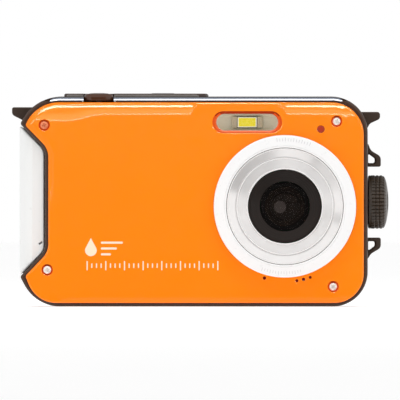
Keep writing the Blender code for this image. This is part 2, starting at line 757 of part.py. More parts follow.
def knob_guard(tip, flat, direction):
    """A loop beside the knob: flat towards it, sloping down to the door's face at its tip."""
    outer = [
        (50.7, flat),
        (55.0, flat),
        (55.5, flat + 0.6 * direction),
        (55.5, flat + 3.4 * direction),
        (54.6, flat + 4.6 * direction),
        (51.4, tip),
        (50.7, tip),
    ]
    hole = [
        (51.8, flat + 1.3 * direction),
        (53.7, flat + 1.3 * direction),
        (53.7, flat + 3.2 * direction),
        (51.8, flat + 4.0 * direction),
    ]
    return extruded("XZ", [outer, hole], -5.0, 3.4)


def side_door():
    """The door over the battery, the card and the socket, hinged at its lower edge."""
    outline = ((-9.4, 12.1, 0.2), (7.8, 12.1, 0.2), (7.8, 52.0, 3.0), (-9.4, 52.0, 3.0))
    door = extruded("YZ", [rounded(outline)], DOOR_INNER, DOOR_OUTER)
    join(door, rod("Y", 1.1, -9.4, 7.8, HINGE, 20))
    join(door, knob_guard(49.4, 42.0, 1), knob_guard(13.9, 20.7, -1))
    cut(door, rod("Y", 0.6, -11.0, 9.0, HINGE, 12), rod("X", 2.2, 48.0, 53.0, KNOB, 20))
    finish(door, "side_door", BLACK, 0.35, pivot=(HINGE[0], KNOB[0], HINGE[1]))
    loops = [
        rounded(rectangle((-9.1, 13.8), (7.5, 51.6), 2.4), 30.0),
        rounded(rectangle((-7.8, 15.2), (6.2, 50.0), 1.5), 30.0),
    ]
    seal = extruded("YZ", loops, 49.3, 49.7)
    finish(seal, "door_seal", (0.5, 0.12, 0.05), 0.6, pivot=(HINGE[0], KNOB[0], HINGE[1]))
    finish(rod("Y", 0.35, -10.3, 8.7, HINGE, 12), "door_hinge_pin", STEEL, 0.25, 1.0)


def lock():
    """The knob, its shaft and seal, and the bar behind the door, all turning as one about X."""
    knob = (
        (0.0, 57.8),
        (3.0, 57.6),
        (5.5, 57.1),
        (7.2, 56.4),
        (KNOB_RADIUS, 55.5),
        (KNOB_RADIUS, 52.7),
        (7.3, 52.5),
        (7.3, 51.8),
        (2.2, 51.8),
        (2.2, 54.0),
        (0.0, 54.0),
    )
    finish(turned("X", knob, KNOB, 40, closed=False), "lock_knob", BLACK, 0.4)
    finish(rod("X", 1.9, 47.6, 53.7, KNOB, 20), "lock_shaft", STEEL, 0.25, 1.0)
    ring = ((2.15, 49.6), (3.0, 49.6), (3.0, 48.9), (2.15, 48.9))
    finish(turned("X", ring, KNOB, 20), "shaft_seal", RUBBER, 0.7)
    bar = rectangle((KNOB[0] - 2.0, KNOB[1] - 8.4), (KNOB[0] + 2.0, KNOB[1] + 8.4), 1.9)
    latch = extruded("YZ", [rounded(bar, 30.0)], 45.8, 47.3)
    finish(latch, "latch_bar", STEEL, 0.3, 1.0, pivot=on_axis("X", 46.55, KNOB))


main_housing()
front_cover()
rear_cover()
body_seal()
top_trim()
top_pad()
grip_panel()
strap_lugs()
tripod_bush()
front_screws()
lens_bezel()
lens_dish()
lens_hood()
lens_barrel()
lens_holder()
optics()
flash()
timer_lamp()
sound_parts()
boards()
screen()
battery_bay()
battery_catch()
sockets()
shutter_button()
power_button()
rear_buttons()
zoom_rocker()
side_door()
lock()
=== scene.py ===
"""The looks of the waterproof camera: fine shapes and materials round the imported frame.

Sizes and places in this file are in millimetres, and the helpers convert them to Blender's metres.
X runs to the right of someone facing the lens, Y from the lens side to the screen side, and Z up.
"""

import math

import bmesh
import bpy
import numpy as np
from mathutils import Matrix, Vector
from mathutils.geometry import delaunay_2d_cdt


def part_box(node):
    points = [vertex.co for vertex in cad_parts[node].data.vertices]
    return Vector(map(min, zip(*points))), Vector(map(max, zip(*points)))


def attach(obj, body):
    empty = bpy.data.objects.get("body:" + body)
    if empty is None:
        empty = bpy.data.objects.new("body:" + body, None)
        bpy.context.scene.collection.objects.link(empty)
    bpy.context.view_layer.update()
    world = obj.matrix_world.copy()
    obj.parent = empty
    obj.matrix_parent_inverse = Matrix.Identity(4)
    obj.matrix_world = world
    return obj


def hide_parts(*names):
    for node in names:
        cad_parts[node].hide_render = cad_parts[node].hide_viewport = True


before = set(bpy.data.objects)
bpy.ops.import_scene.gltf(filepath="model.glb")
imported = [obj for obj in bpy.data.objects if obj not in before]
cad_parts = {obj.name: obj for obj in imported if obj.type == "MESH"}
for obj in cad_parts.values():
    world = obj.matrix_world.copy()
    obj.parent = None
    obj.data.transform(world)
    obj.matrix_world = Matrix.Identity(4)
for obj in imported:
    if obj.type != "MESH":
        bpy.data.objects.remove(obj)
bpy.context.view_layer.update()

MM = 0.001
SAME_POINT = 0.001

TURNS = {
    "X": Matrix.Rotation(math.radians(90.0), 4, "Y"),
    "Y": Matrix.Rotation(math.radians(-90.0), 4, "X"),
    "Z": Matrix.Identity(4),
}


# ---------------------------------------------------------------- places


def span(node):
    """The lowest and highest corner of a CAD node."""
    low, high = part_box(node)
    return low / MM, high / MM


def on_plane(place, plane):
    return tuple(getattr(place, axis.lower()) for axis in plane)


def seen(node, plane="XZ"):
    """The middle of a CAD node as a point of a plane."""
    low, high = span(node)
    return on_plane((low + high) / 2, plane)


COVER_FRONT, COVER_BACK = (corner.y for corner in span("front_cover"))
HOUSING_FRONT, HOUSING_BACK = (corner.y for corner in span("main_housing"))
REAR_FRONT, REAR_BACK = (corner.y for corner in span("rear_cover"))
BEZEL_FRONT = span("lens_bezel")[0].y
LENS = seen("lens_bezel")
FLASH = seen("flash_window")
LAMP = seen("timer_lamp")
KNOB = seen("lock_knob", "YZ")
POWER = seen("power_button", "XY")
TRIPOD = seen("tripod_bush", "XY")
HINGE = (50.4, 12.1)
SHUTTER_STEM = (-29.3, -3.2)
CORNERS = ("upper_left", "upper_right", "lower_left", "lower_right")
SCREWS = [seen("front_screw_" + corner) for corner in CORNERS]

# The casings' outlines in X and Z: each corner and the radius that rounds it.
HOUSING_OUTLINE = (
    (51.5, 0.0, 10.5), (51.5, 63.1, 10.9), (-47.9, 63.1, 13.4), (-52.9, 54.9, 0.9),
    (-45.5, 47.1, 4.7), (-45.5, 16.8, 4.7), (-52.9, 9.0, 0.9), (-48.1, 0.0, 12.2),
)
COVER_OUTLINE = (
    (50.3, 1.1, 8.9), (50.3, 61.3, 9.8), (-48.0, 61.3, 10.8), (-51.3, 54.4, 1.0),
    (-44.4, 47.3, 6.0), (-44.4, 16.4, 6.0), (-51.3, 9.2, 1.0), (-48.0, 1.1, 9.0),
)
REAR_OUTLINE = ((51.5, 0.0, 11.0), (51.5, 63.1, 10.9), (-52.6, 63.1, 12.8), (-52.6, 0.0, 12.8))


# ---------------------------------------------------------------- outlines


def polar(centre, radius, angle):
    return (centre[0] + radius * math.cos(angle), centre[1] + radius * math.sin(angle))


def rounded(corners, step=4.0):
    """The points of a closed outline whose corners are arcs, with a point every step degrees."""
    points = []
    for index, (a, b, radius) in enumerate(corners):
        here = Vector((a, b))
        if radius == 0:
            points.append((a, b))
            continue
        back = (Vector(corners[index - 1][:2]) - here).normalized()
        ahead = (Vector(corners[(index + 1) % len(corners)][:2]) - here).normalized()
        half = back.angle(ahead) / 2
        centre = here + (back + ahead).normalized() * radius / math.sin(half)
        first = here + back * radius / math.tan(half) - centre
        last = here + ahead * radius / math.tan(half) - centre
        start = math.atan2(first.y, first.x)
        sweep = math.remainder(math.atan2(last.y, last.x) - start, math.tau)
        count = max(2, math.ceil(math.degrees(abs(sweep)) / step - 0.01))
        for i in range(count + 1):
            points.append(polar(centre, radius, start + sweep * i / count))
    return [point for i, point in enumerate(points) if math.dist(point, points[i - 1]) > SAME_POINT]


def inset(corners, distance):
    """The corners of an outline moved in by a distance, or out by a negative one, arcs kept parallel."""
    places = [Vector(corner[:2]) for corner in corners]
    area = sum(p.cross(places[i - 1]) for i, p in enumerate(places))
    inward = 1.0 if area < 0 else -1.0
    moved = []
    for i, here in enumerate(places):
        before = (here - places[i - 1]).normalized()
        after = (places[(i + 1) % len(places)] - here).normalized()
        side_before = Vector((-before.y, before.x)) * inward
        side_after = Vector((-after.y, after.x)) * inward
        place = here + (side_before + side_after) / (1 + side_before.dot(side_after)) * distance
        bulges = before.cross(after) * inward > 0
        radius = corners[i][2] - distance if bulges else corners[i][2] + distance
        moved.append((place.x, place.y, max(radius, 0.05)))
    return moved


def rectangle(low, high, radius):
    (left, bottom), (right, top) = low, high
    return ((left, bottom, radius), (right, bottom, radius), (right, top, radius), (left, top, radius))


def centred(centre, width, height, radius):
    """The corners of a rectangle round its middle."""
    x, y = centre
    return rectangle((x - width / 2, y - height / 2), (x + width / 2, y + height / 2), radius)


def obround(centre, length, width):
    """The corners of a slot shape with round ends."""
    return centred(centre, length, width, width / 2)


def around(node, plane, radius, room=0.0):
    """The corners of a CAD node's outline in a plane, grown by some room."""
    (left, bottom), (right, top) = (on_plane(corner, plane) for corner in span(node))
    return rectangle((left - room, bottom - room), (right + room, top + room), radius)


def circle(centre, radius, count):
    return [polar(centre, radius, math.tau * i / count) for i in range(count)]


def spun(corners, angle, centre):
    """The corners of an outline round the origin, turned by an angle and moved to a centre."""
    c, s = math.cos(angle), math.sin(angle)
    return [(centre[0] + a * c - b * s, centre[1] + a * s + b * c, radius) for a, b, radius in corners]


def inside(points, loop):
    """For each of an array of points, whether it lies in a closed outline."""
    ends = np.array(loop)
    found = np.zeros(len(points), bool)
    for (x0, y0), (x1, y1) in zip(ends, np.roll(ends, -1, axis=0)):
        if y0 == y1:
            continue
        crosses = (y0 > points[:, 1]) != (y1 > points[:, 1])
        found ^= crosses & (points[:, 0] < (x1 - x0) * (points[:, 1] - y0) / (y1 - y0) + x0)
    return found


# ---------------------------------------------------------------- shapes


def at(plane, a, b, place):
    """A point of a plane, in metres."""
    return Vector({"XZ": (a, place, b), "YZ": (place, a, b), "XY": (a, b, place)}[plane]) * MM


def add_object(bm, matrix=Matrix.Identity(4)):
    bmesh.ops.recalc_face_normals(bm, faces=bm.faces)
    mesh = bpy.data.meshes.new("shape")
    bm.to_mesh(mesh)
    bm.free()
    obj = bpy.data.objects.new("shape", mesh)
    obj.matrix_world = matrix
    bpy.context.scene.collection.objects.link(obj)
    return obj


def stacked(plane, sections):
    """A closed shape through (place, points) sections with as many points each, and with flat ends."""
    bm = bmesh.new()
    rings = [[bm.verts.new(at(plane, a, b, place)) for a, b in points] for place, points in sections]
    for lower, upper in zip(rings, rings[1:]):
        for i in range(len(lower)):
            bm.faces.new((lower[i - 1], lower[i], upper[i], upper[i - 1]))
    bm.faces.new(rings[0])
    bm.faces.new(rings[-1])
    return add_object(bm)


def lofted(plane, sections, step=4.0):
    """A closed shape through sections, each a (place, corners)."""
    return stacked(plane, [(place, rounded(corners, step)) for place, corners in sections])


def stepped(plane, corners, pairs, step=4.0):
    """A closed shape through one outline, moved in by a distance at each of (place, distance) pairs."""
    return lofted(plane, [(place, inset(corners, distance)) for place, distance in pairs], step)


def prism(plane, corners, low, high, step=4.0):
    """An outline given thickness, with sharp rims."""
    return lofted(plane, [(low, corners), (high, corners)], step)


def quarter(place, direction, radius):
    """A rounded rim as (place, inset) pairs, from the side towards the flat face at the place."""
    pairs = []
    for degrees in (0.0, 22.5, 45.0, 67.5, 90.0):
        angle = math.radians(degrees)
        pairs.append((place + direction * radius * (1 - math.sin(angle)), radius * (1 - math.cos(angle))))
    return pairs


def slab(plane, corners, low, high, low_rim, high_rim, step=4.0):
    """An outline given thickness, with a rounded rim at either face."""
    pairs = quarter(low, 1, low_rim)[::-1] if low_rim else [(low, 0.0)]
    pairs += quarter(high, -1, high_rim) if high_rim else [(high, 0.0)]
    return stepped(plane, corners, pairs, step)


def mouth(plane, corners, floor, face, flare):
    """A cutter for a hole or pocket from floor up to face, whose edge at the face is softened."""
    soft = ((face - flare * 0.3, -flare * 0.3), (face, -flare), (face + 1, -flare * 1.5))
    return stepped(plane, corners, ((floor, 0.0), (face - flare, 0.0), *soft))


def block(low, high):
    """A box between two opposite corners."""
    return prism("XZ", rectangle((low[0], low[2]), (high[0], high[2]), 0), low[1], high[1])


def soft_block(low, high, radius, plane="XZ", step=15.0):
    """A box with every edge rounded."""
    first, second, third = {"XZ": (0, 2, 1), "YZ": (1, 2, 0)}[plane]
    corners = rectangle((low[first], low[second]), (high[first], high[second]), radius)
    rim = radius * 0.95
    return slab(plane, corners, low[third], high[third], rim, rim, step)


def turned(axis, profile, across, sides=96):
    """A shape turned about an axis, from (radius, place along it, corner radius) points.

    A profile that starts and ends on the axis makes a solid, and any other makes a ring.
    """
    bm = bmesh.new()
    angles = [math.tau * i / sides for i in range(sides)]
    rings = []
    for radius, along in rounded(profile, 15.0):
        if radius < SAME_POINT:
            rings.append([bm.verts.new((0.0, 0.0, along * MM))])
            continue
        ring = [(radius * MM * math.cos(a), radius * MM * math.sin(a), along * MM) for a in angles]
        rings.append([bm.verts.new(place) for place in ring])
    following = rings[1:] if len(rings[0]) == 1 else rings[1:] + rings[:1]
    for ring, other in zip(rings, following):
        for i in range(sides):
            corners = [ring[(i - 1) % len(ring)], ring[i % len(ring)]]
            corners += [other[i % len(other)], other[(i - 1) % len(other)]]
            unique = list(dict.fromkeys(corners))
            if len(unique) > 2:
                bm.faces.new(unique)
    places = {"X": (0.0, *across), "Y": (across[0], 0.0, across[1]), "Z": (*across, 0.0)}
    return add_object(bm, Matrix.Translation(Vector(places[axis]) * MM) @ TURNS[axis])


def rod(axis, radius, low, high, across, sides=48):
    profile = ((0.0, high, 0), (radius, high, 0), (radius, low, 0), (0.0, low, 0))
    return turned(axis, profile, across, sides)


def combine(obj, operation, others):
    for other in others:
        modifier = obj.modifiers.new(operation, "BOOLEAN")
        modifier.operation = operation
        modifier.object = other
    bpy.context.view_layer.update()
    graph = bpy.context.evaluated_depsgraph_get()
    mesh = bpy.data.meshes.new_from_object(obj.evaluated_get(graph))
    obj.modifiers.clear()
    obj.data = mesh
    for other in others:
        bpy.data.objects.remove(other)
    return obj


def cut(obj, *others):
    return combine(obj, "DIFFERENCE", others)


def join(obj, *others):
    return combine(obj, "UNION", others)


def common(obj, *others):
    return combine(obj, "INTERSECT", others)


def merged(*objs):
    """Several shapes as one object, without a Boolean."""
    bm = bmesh.new()
    for obj in objs:
        mesh = obj.data.copy()
        mesh.transform(obj.matrix_world)
        bm.from_mesh(mesh)
        bpy.data.objects.remove(obj)
        bpy.data.meshes.remove(mesh)
    return add_object(bm)


def distances(points, loop):
    """How far each of an array of points is from a closed outline."""
    starts = np.array(loop)
    along = np.roll(starts, -1, axis=0) - starts
    nearest = np.full(len(points), np.inf)
    for start, step in zip(starts, along):
        offset = points - start
        share = np.clip(offset @ step / (step @ step), 0.0, 1.0)
        nearest = np.minimum(nearest, np.linalg.norm(offset - share[:, None] * step, axis=1))
    return nearest


def divided(line, longest=1.5):
    """An open line with points added, so that no side is longer than a limit."""
    points = []
    for first, last in zip(line, line[1:]):
        count = math.ceil(math.dist(first, last) / longest)
        points += [tuple(Vector(first).lerp(last, i / count)) for i in range(count)]
    return points + [line[-1]]


def relief(outline, holes, guides, creases, spacing, depth, back):
    """A plate facing -Y, whose front follows depth(points) in an outline with holes.

    Guides are closed lines where the front's shape changes, and creases are open ones.
    """
    points, edges = [], []
    for loop in [outline, *holes, *guides]:
        loop = divided(loop + loop[:1])[:-1]
        first = len(points)
        points += loop
        edges += [(first + i, first + (i + 1) % len(loop)) for i in range(len(loop))]
    for line in map(divided, creases):
        first = len(points)
        points += line
        edges += [(first + i, first + i + 1) for i in range(len(line) - 1)]
    low, high = np.min(outline, axis=0), np.max(outline, axis=0)
    across, up = np.meshgrid(np.arange(low[0], high[0], spacing[0]), np.arange(low[1], high[1], spacing[1]))
    grid = np.column_stack((across.ravel(), up.ravel()))
    kept = inside(grid, outline)
    for hole in holes:
        kept &= ~inside(grid, hole)
    fixed = np.array(points)
    for start in range(0, len(grid), 2000):
        part = slice(start, start + 2000)
        kept[part] &= np.abs(grid[part, None] - fixed[None]).max(axis=2).min(axis=1) > min(spacing) * 0.85
    vectors = [Vector(point) for point in points + grid[kept].tolist()]
    places, _, faces, _, _, _ = delaunay_2d_cdt(vectors, edges, [], 0, 1e-6)
    flat = np.array(places)
    centres = np.array([flat[list(face)].mean(axis=0) for face in faces])
    shown = inside(centres, outline)
    for hole in holes:
        shown &= ~inside(centres, hole)
    bm = bmesh.new()
    front = [bm.verts.new(at("XZ", x, z, y)) for (x, z), y in zip(flat, depth(flat))]
    for face in np.array(faces, dtype=object)[shown]:
        bm.faces.new([front[i] for i in face])
    rim = [edge for edge in bm.edges if edge.is_boundary]
    behind = {v: bm.verts.new((v.co.x, back * MM, v.co.z)) for edge in rim for v in edge.verts}
    for edge in rim:
        first, last = edge.verts
        bm.faces.new((first, last, behind[last], behind[first]))
    bmesh.ops.triangle_fill(bm, use_beauty=True, edges=[edge for edge in bm.edges if edge.is_boundary])
    for vert in [v for v in bm.verts if not v.link_faces]:
        bm.verts.remove(vert)
    plate = add_object(bm)
    shade_exactly(plate, depth)
    return plate


def shade_exactly(plate, depth, reach=0.02, steepest=-0.15):
    """Shades a relief's front by its true slope, and its edge and back flat."""
    mesh = plate.data
    places = np.array([vert.co for vert in mesh.vertices])[:, [0, 2]] / MM
    slopes = []
    for step in ((reach, 0.0), (0.0, reach)):
        slopes.append((depth(places + step) - depth(places - step)) / (2 * reach))
    fronts = np.column_stack((slopes[0], -np.ones(len(places)), slopes[1]))
    fronts /= np.linalg.norm(fronts, axis=1)[:, None]
    mesh.shade_smooth()
    normals = []
    for face in mesh.polygons:
        sloping = face.normal.y < steepest
        normals += [fronts[i] if sloping else face.normal for i in face.vertices]
    mesh.normals_split_custom_set(normals)


# ---------------------------------------------------------------- materials


NOISE_LOW = 0.3
NOISE_HIGH = 0.7
SHARP_ANGLE = math.radians(32.0)


def principled(made):
    return made.node_tree.nodes["Principled BSDF"]


def new_material(name, colour, roughness, **sockets):
    """A Principled material. Further sockets are given by name, with _ for each space."""
    made = bpy.data.materials.new(name)
    made.use_nodes = True
    shader = principled(made)
    shader.inputs["Base Color"].default_value = (*colour, 1.0)
    shader.inputs["Roughness"].default_value = roughness
    for socket, value in sockets.items():
        shader.inputs[socket.replace("_", " ")].default_value = value
    return made


def node(made, kind, **values):
    """A node of a material or world, with sockets and properties by name, as for new_material."""
    new = made.node_tree.nodes.new("ShaderNode" + kind)
    for name, value in values.items():
        socket = name.replace("_", " ")
        if socket in new.inputs:
            new.inputs[socket].default_value = value
        else:
            setattr(new, name, value)
    return new


def wire(made, output, socket):
    made.node_tree.links.new(output, socket)


def noise(made, scale, detail, stretch=(1, 1, 1)):
    """Noise in the piece's own coordinates; scale is in features per millimetre."""
    mapping = node(made, "Mapping", Scale=stretch)
    wire(made, node(made, "TexCoord").outputs["Object"], mapping.inputs["Vector"])
    texture = node(made, "TexNoise", Scale=scale / MM, Detail=detail, Roughness=0.6)
    wire(made, mapping.outputs["Vector"], texture.inputs["Vector"])
    return texture.outputs["Fac"]


def bumped(made, height, strength, distance):
    """Adds a bump from a height, on top of any that is there. The distance is in millimetres."""
    normal = principled(made).inputs["Normal"]
    bump = node(made, "Bump", Strength=strength, Distance=distance * MM)
    wire(made, height, bump.inputs["Height"])
    if normal.is_linked:
        wire(made, normal.links[0].from_socket, bump.inputs["Normal"])
    wire(made, bump.outputs["Normal"], normal)


def varied(made, socket, fac, low, high):
    """Drives a number or a colour between two values, over the range that noise mostly keeps to."""
    target = principled(made).inputs[socket]
    ranged = node(made, "MapRange", From_Min=NOISE_LOW, From_Max=NOISE_HIGH)
    wire(made, fac, ranged.inputs["Value"])
    if isinstance(low, tuple):
        mix = node(made, "Mix", data_type="RGBA")
        ends = [end for end in mix.inputs if end.type == "RGBA"]
        for end, colour in zip(ends, (low, high)):
            end.default_value = (*colour, 1.0)
        wire(made, ranged.outputs["Result"], mix.inputs["Factor"])
        wire(made, next(result for result in mix.outputs if result.type == "RGBA"), target)
        return
    ranged.inputs["To Min"].default_value = low
    ranged.inputs["To Max"].default_value = high
    wire(made, ranged.outputs["Result"], target)


def tint(colour, factor):
    return tuple(min(1.0, c * factor) for c in colour)


def plastic(name, colour, roughness, grain=0.0, spread=0.06, specular=0.5, **sockets):
    """Moulded plastic: faint flow in its colour, uneven gloss, and a fine grain where it is matt."""
    made = new_material(name, colour, roughness, Specular_IOR_Level=specular, **sockets)
    varied(made, "Base Color", noise(made, 0.05, 2.0), tint(colour, 1 - spread), tint(colour, 1 + spread))
    varied(made, "Roughness", noise(made, 0.6, 4.0), roughness * 0.85, roughness * 1.15)
    bumped(made, noise(made, 0.25, 1.0), 0.03, 0.01)
    if grain:
        bumped(made, noise(made, 7.0, 2.0), grain, 0.03)
    return made


def metal(name, colour, roughness, rings=0.0, brushed=None, anisotropy=0.0, metallic=1.0):
    """Metal with turned rings about its own axis, or brushed along a direction."""
    made = new_material(name, colour, roughness, Metallic=metallic, Anisotropic=anisotropy)
    varied(made, "Roughness", noise(made, 0.8, 4.0), roughness * 0.8, roughness * 1.25)
    varied(made, "Base Color", noise(made, 0.12, 2.0), tint(colour, 0.96), tint(colour, 1.03))
    if rings:
        coordinates = node(made, "TexCoord")
        wave = node(made, "TexWave", wave_type="RINGS", rings_direction="Z", Scale=rings / MM / 6.283)
        wave.inputs["Distortion"].default_value = 0.4
        wave.inputs["Detail"].default_value = 2.0
        wire(made, coordinates.outputs["Object"], wave.inputs["Vector"])
        bumped(made, wave.outputs["Fac"], 0.25, 0.012)
        shader = principled(made)
        shader.inputs["Anisotropic Rotation"].default_value = 0.25
        tangent = node(made, "Tangent", direction_type="RADIAL", axis="Z")
        wire(made, tangent.outputs["Tangent"], shader.inputs["Tangent"])
    if brushed:
        bumped(made, noise(made, 4.0, 2.0, brushed), 0.15, 0.02)
    return made


def clear(name, colour, roughness, transmission=1.0):
    """Clear glass or plastic that bends the light."""
    made = new_material(name, colour, roughness, IOR=1.46, Transmission_Weight=transmission)
    varied(made, "Roughness", noise(made, 0.5, 3.0), roughness * 0.7, roughness * 1.4 + 0.01)
    return made


def thin_sheet(name, colour, roughness, solid):
    """A thin clear sheet: mostly see-through, with a share that is solid and holds the gloss."""
    made = new_material(name, colour, roughness, Alpha=solid)
    varied(made, "Roughness", noise(made, 0.1, 2.0), roughness * 0.8, roughness * 1.2)
    return made


def glow(colour, strength):
    """The sockets that give a material a faint light of its own."""
    return {"Emission_Color": (*colour, 1.0), "Emission_Strength": strength}


COVER = plastic("orange_plastic", (0.985, 0.225, 0.0005), 0.14, spread=0.012, specular=0.28)
# Painted shade: a darker, redder orange for the walls of the screw and flash recesses, standing for shade
# and light bounced inside them.
COVER_WELL_SHADE = plastic("orange_recess_shade", (0.80, 0.10, 0.009), 0.35, spread=0.05, specular=0.15)
# Painted shade: a dark red for recess walls that face down.
COVER_SHADE = plastic("orange_down_shade", (0.36, 0.028, 0.002), 0.45, spread=0.1, specular=0.1)
# Painted shade: a dust mesh coloured dark red, as the shaded inside of the sound holes.
SHADED_DUST_MESH = plastic("shaded_dust_mesh", (0.13, 0.004, 0.004), 0.8, grain=0.3, specular=0.1)
BODY = plastic("body_black", (0.054, 0.027, 0.016), 0.25, specular=0.4)
REAR = plastic("rear_black", (0.016, 0.016, 0.017), 0.36, grain=0.12)
MATT = plastic("matt_black", (0.042, 0.024, 0.015), 0.42, grain=0.12, specular=0.35)
KNOB_BLACK = plastic("knob_black", (0.042, 0.028, 0.018), 0.32, grain=0.1)
PAD = plastic("top_pad_black", (0.046, 0.024, 0.016), 0.25)
# Painted reflection: a grey for the black panel's front faces.
PAD_REFLECTION = plastic("top_pad_painted_reflection", (0.23, 0.21, 0.19), 0.2)
SHUTTER = plastic("shutter_black", (0.062, 0.022, 0.009), 0.15)
SILVER = plastic("silver_white", (0.82, 0.825, 0.815), 0.32, spread=0.01)
RING = plastic("bezel_silver", (0.86, 0.86, 0.86), 0.3, spread=0.012)
RING_MARK = plastic("bezel_mark", (0.62, 0.61, 0.62), 0.4)
# Tinted blue-grey: a painted reflection of a bluish surrounding on the chrome.
CHROME = metal("trim_chrome", (0.44, 0.48, 0.57), 0.1)
DISH = metal("dish_metal", (0.85, 0.83, 0.82), 0.2, rings=3.2, anisotropy=0.85, metallic=0.62)
# Painted highlight: a pale, matt plastic for the dish's lips, so that the step edges show as bright rings.
LIP_HIGHLIGHT = plastic("dish_lip_highlight", (0.80, 0.79, 0.78), 0.3, spread=0.012)
SCREW = metal("screw_chrome", (0.97, 0.90, 0.84), 0.3, rings=5.0, metallic=0.6)
# Painted reflection: an orange-red screw metal standing for the orange cover mirrored in one screw.
SCREW_ORANGE_REFLECTION = metal("screw_painted_reflection", (0.84, 0.26, 0.12), 0.3, rings=5.0, metallic=0.5)
STEEL = metal("steel", (0.60, 0.60, 0.59), 0.3, brushed=(1, 8, 1))
BUSH = metal("bush_steel", (0.58, 0.58, 0.56), 0.28, rings=4.0)
BRASS = metal("contact_brass", (0.85, 0.62, 0.25), 0.25, brushed=(1, 6, 1))
HOOD = plastic("hood_black", (0.014, 0.0095, 0.0075), 0.4, specular=0.2)
BARREL = plastic("barrel_black", (0.036, 0.023, 0.016), 0.45, specular=0.15)
GLASS = thin_sheet("lens_glass", (0.010, 0.008, 0.007), 0.03, 0.35)
COATED = new_material("coated_lens", (0.032, 0.021, 0.015), 0.3, Specular_IOR_Level=0.2)
varied(COATED, "Roughness", noise(COATED, 0.4, 2.0), 0.26, 0.34)
# Painted reflection: a grey disc inside the lens standing for the reflection in its middle element.
LENS_REFLECTION = plastic("lens_painted_reflection", (0.185, 0.145, 0.130), 0.5)
RED = clear("lamp_red", (0.48, 0.035, 0.010), 0.2, transmission=0.15)
WINDOW = thin_sheet("flash_clear", (0.80, 0.80, 0.50), 0.08, 0.05)
MIRROR = plastic("flash_tray_white", (0.66, 0.61, 0.49), 0.4)
# Painted light: the flash LED's phosphor and white body glow faintly, standing for light falling on the
# unlit LED.
PHOSPHOR = plastic("led_yellow", (0.72, 0.62, 0.01), 0.5, specular=0.1, **glow((0.8, 0.7, 0.01), 0.3))
SOLDER = plastic("solder_pads", (0.50, 0.42, 0.30), 0.35, grain=0.2)
CERAMIC = plastic("led_white", (0.92, 0.91, 0.84), 0.5, **glow((0.9, 0.9, 0.8), 0.15))
PRINT = plastic("print_cream", (0.92, 0.74, 0.55), 0.4)
PRINT_WHITE = plastic("print_white", (0.80, 0.80, 0.80), 0.45)
SCREEN = thin_sheet("screen_glass", (0.012, 0.012, 0.014), 0.04, 0.6)
DISPLAY = plastic("display", (0.012, 0.014, 0.020), 0.16)
KEY = plastic("key_silver", (0.42, 0.42, 0.43), 0.3, grain=0.06, Metallic=0.6)
KEY_BLACK = plastic("key_black", (0.02, 0.02, 0.021), 0.32, grain=0.06)
SEAL = plastic("seal_red", (0.45, 0.06, 0.02), 0.55, grain=0.1)
RUBBER = plastic("o_ring", (0.02, 0.02, 0.02), 0.6, grain=0.1)
BOARD = plastic("board_green", (0.015, 0.13, 0.05), 0.35, spread=0.15)
CHIP = plastic("chip_black", (0.02, 0.02, 0.022), 0.45, grain=0.1)
CELL = plastic("battery_grey", (0.16, 0.17, 0.19), 0.4)
LEVER = plastic("catch_orange", (0.75, 0.22, 0.02), 0.4)
FILTER = clear("filter_glass", (0.45, 0.75, 0.8), 0.04)


def smooth(obj):
    """Smooth shading, with flat faces kept flat. Reliefs are shaded already."""
    if obj.data.has_custom_normals:
        return
    obj.data.shade_smooth()
    obj.data.set_sharp_from_angle(angle=SHARP_ANGLE)
    weighted = obj.modifiers.new("flat_faces", "WEIGHTED_NORMAL")
    weighted.keep_sharp = True


def piece(obj, name, material, slot, *nodes, body="camera_body"):
    """Makes a shape a piece of the camera, riding on a body and standing for CAD nodes."""
    obj.name = name
    obj.data.materials.clear()
    obj.data.materials.append(material)
    smooth(obj)
    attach(obj, body)
    if nodes:
        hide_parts(*nodes)


def keep(name, material, bevel=0.0):
    """A CAD node that stays, with its material and, where it shows, softened edges."""
    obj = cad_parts[name]
    for index in range(len(obj.data.materials)):
        obj.data.materials[index] = material
    if bevel:
        softened = obj.modifiers.new("softened", "BEVEL")
        softened.width = bevel * MM
        softened.segments = 2
        softened.limit_method = "ANGLE"


# ---------------------------------------------------------------- casings


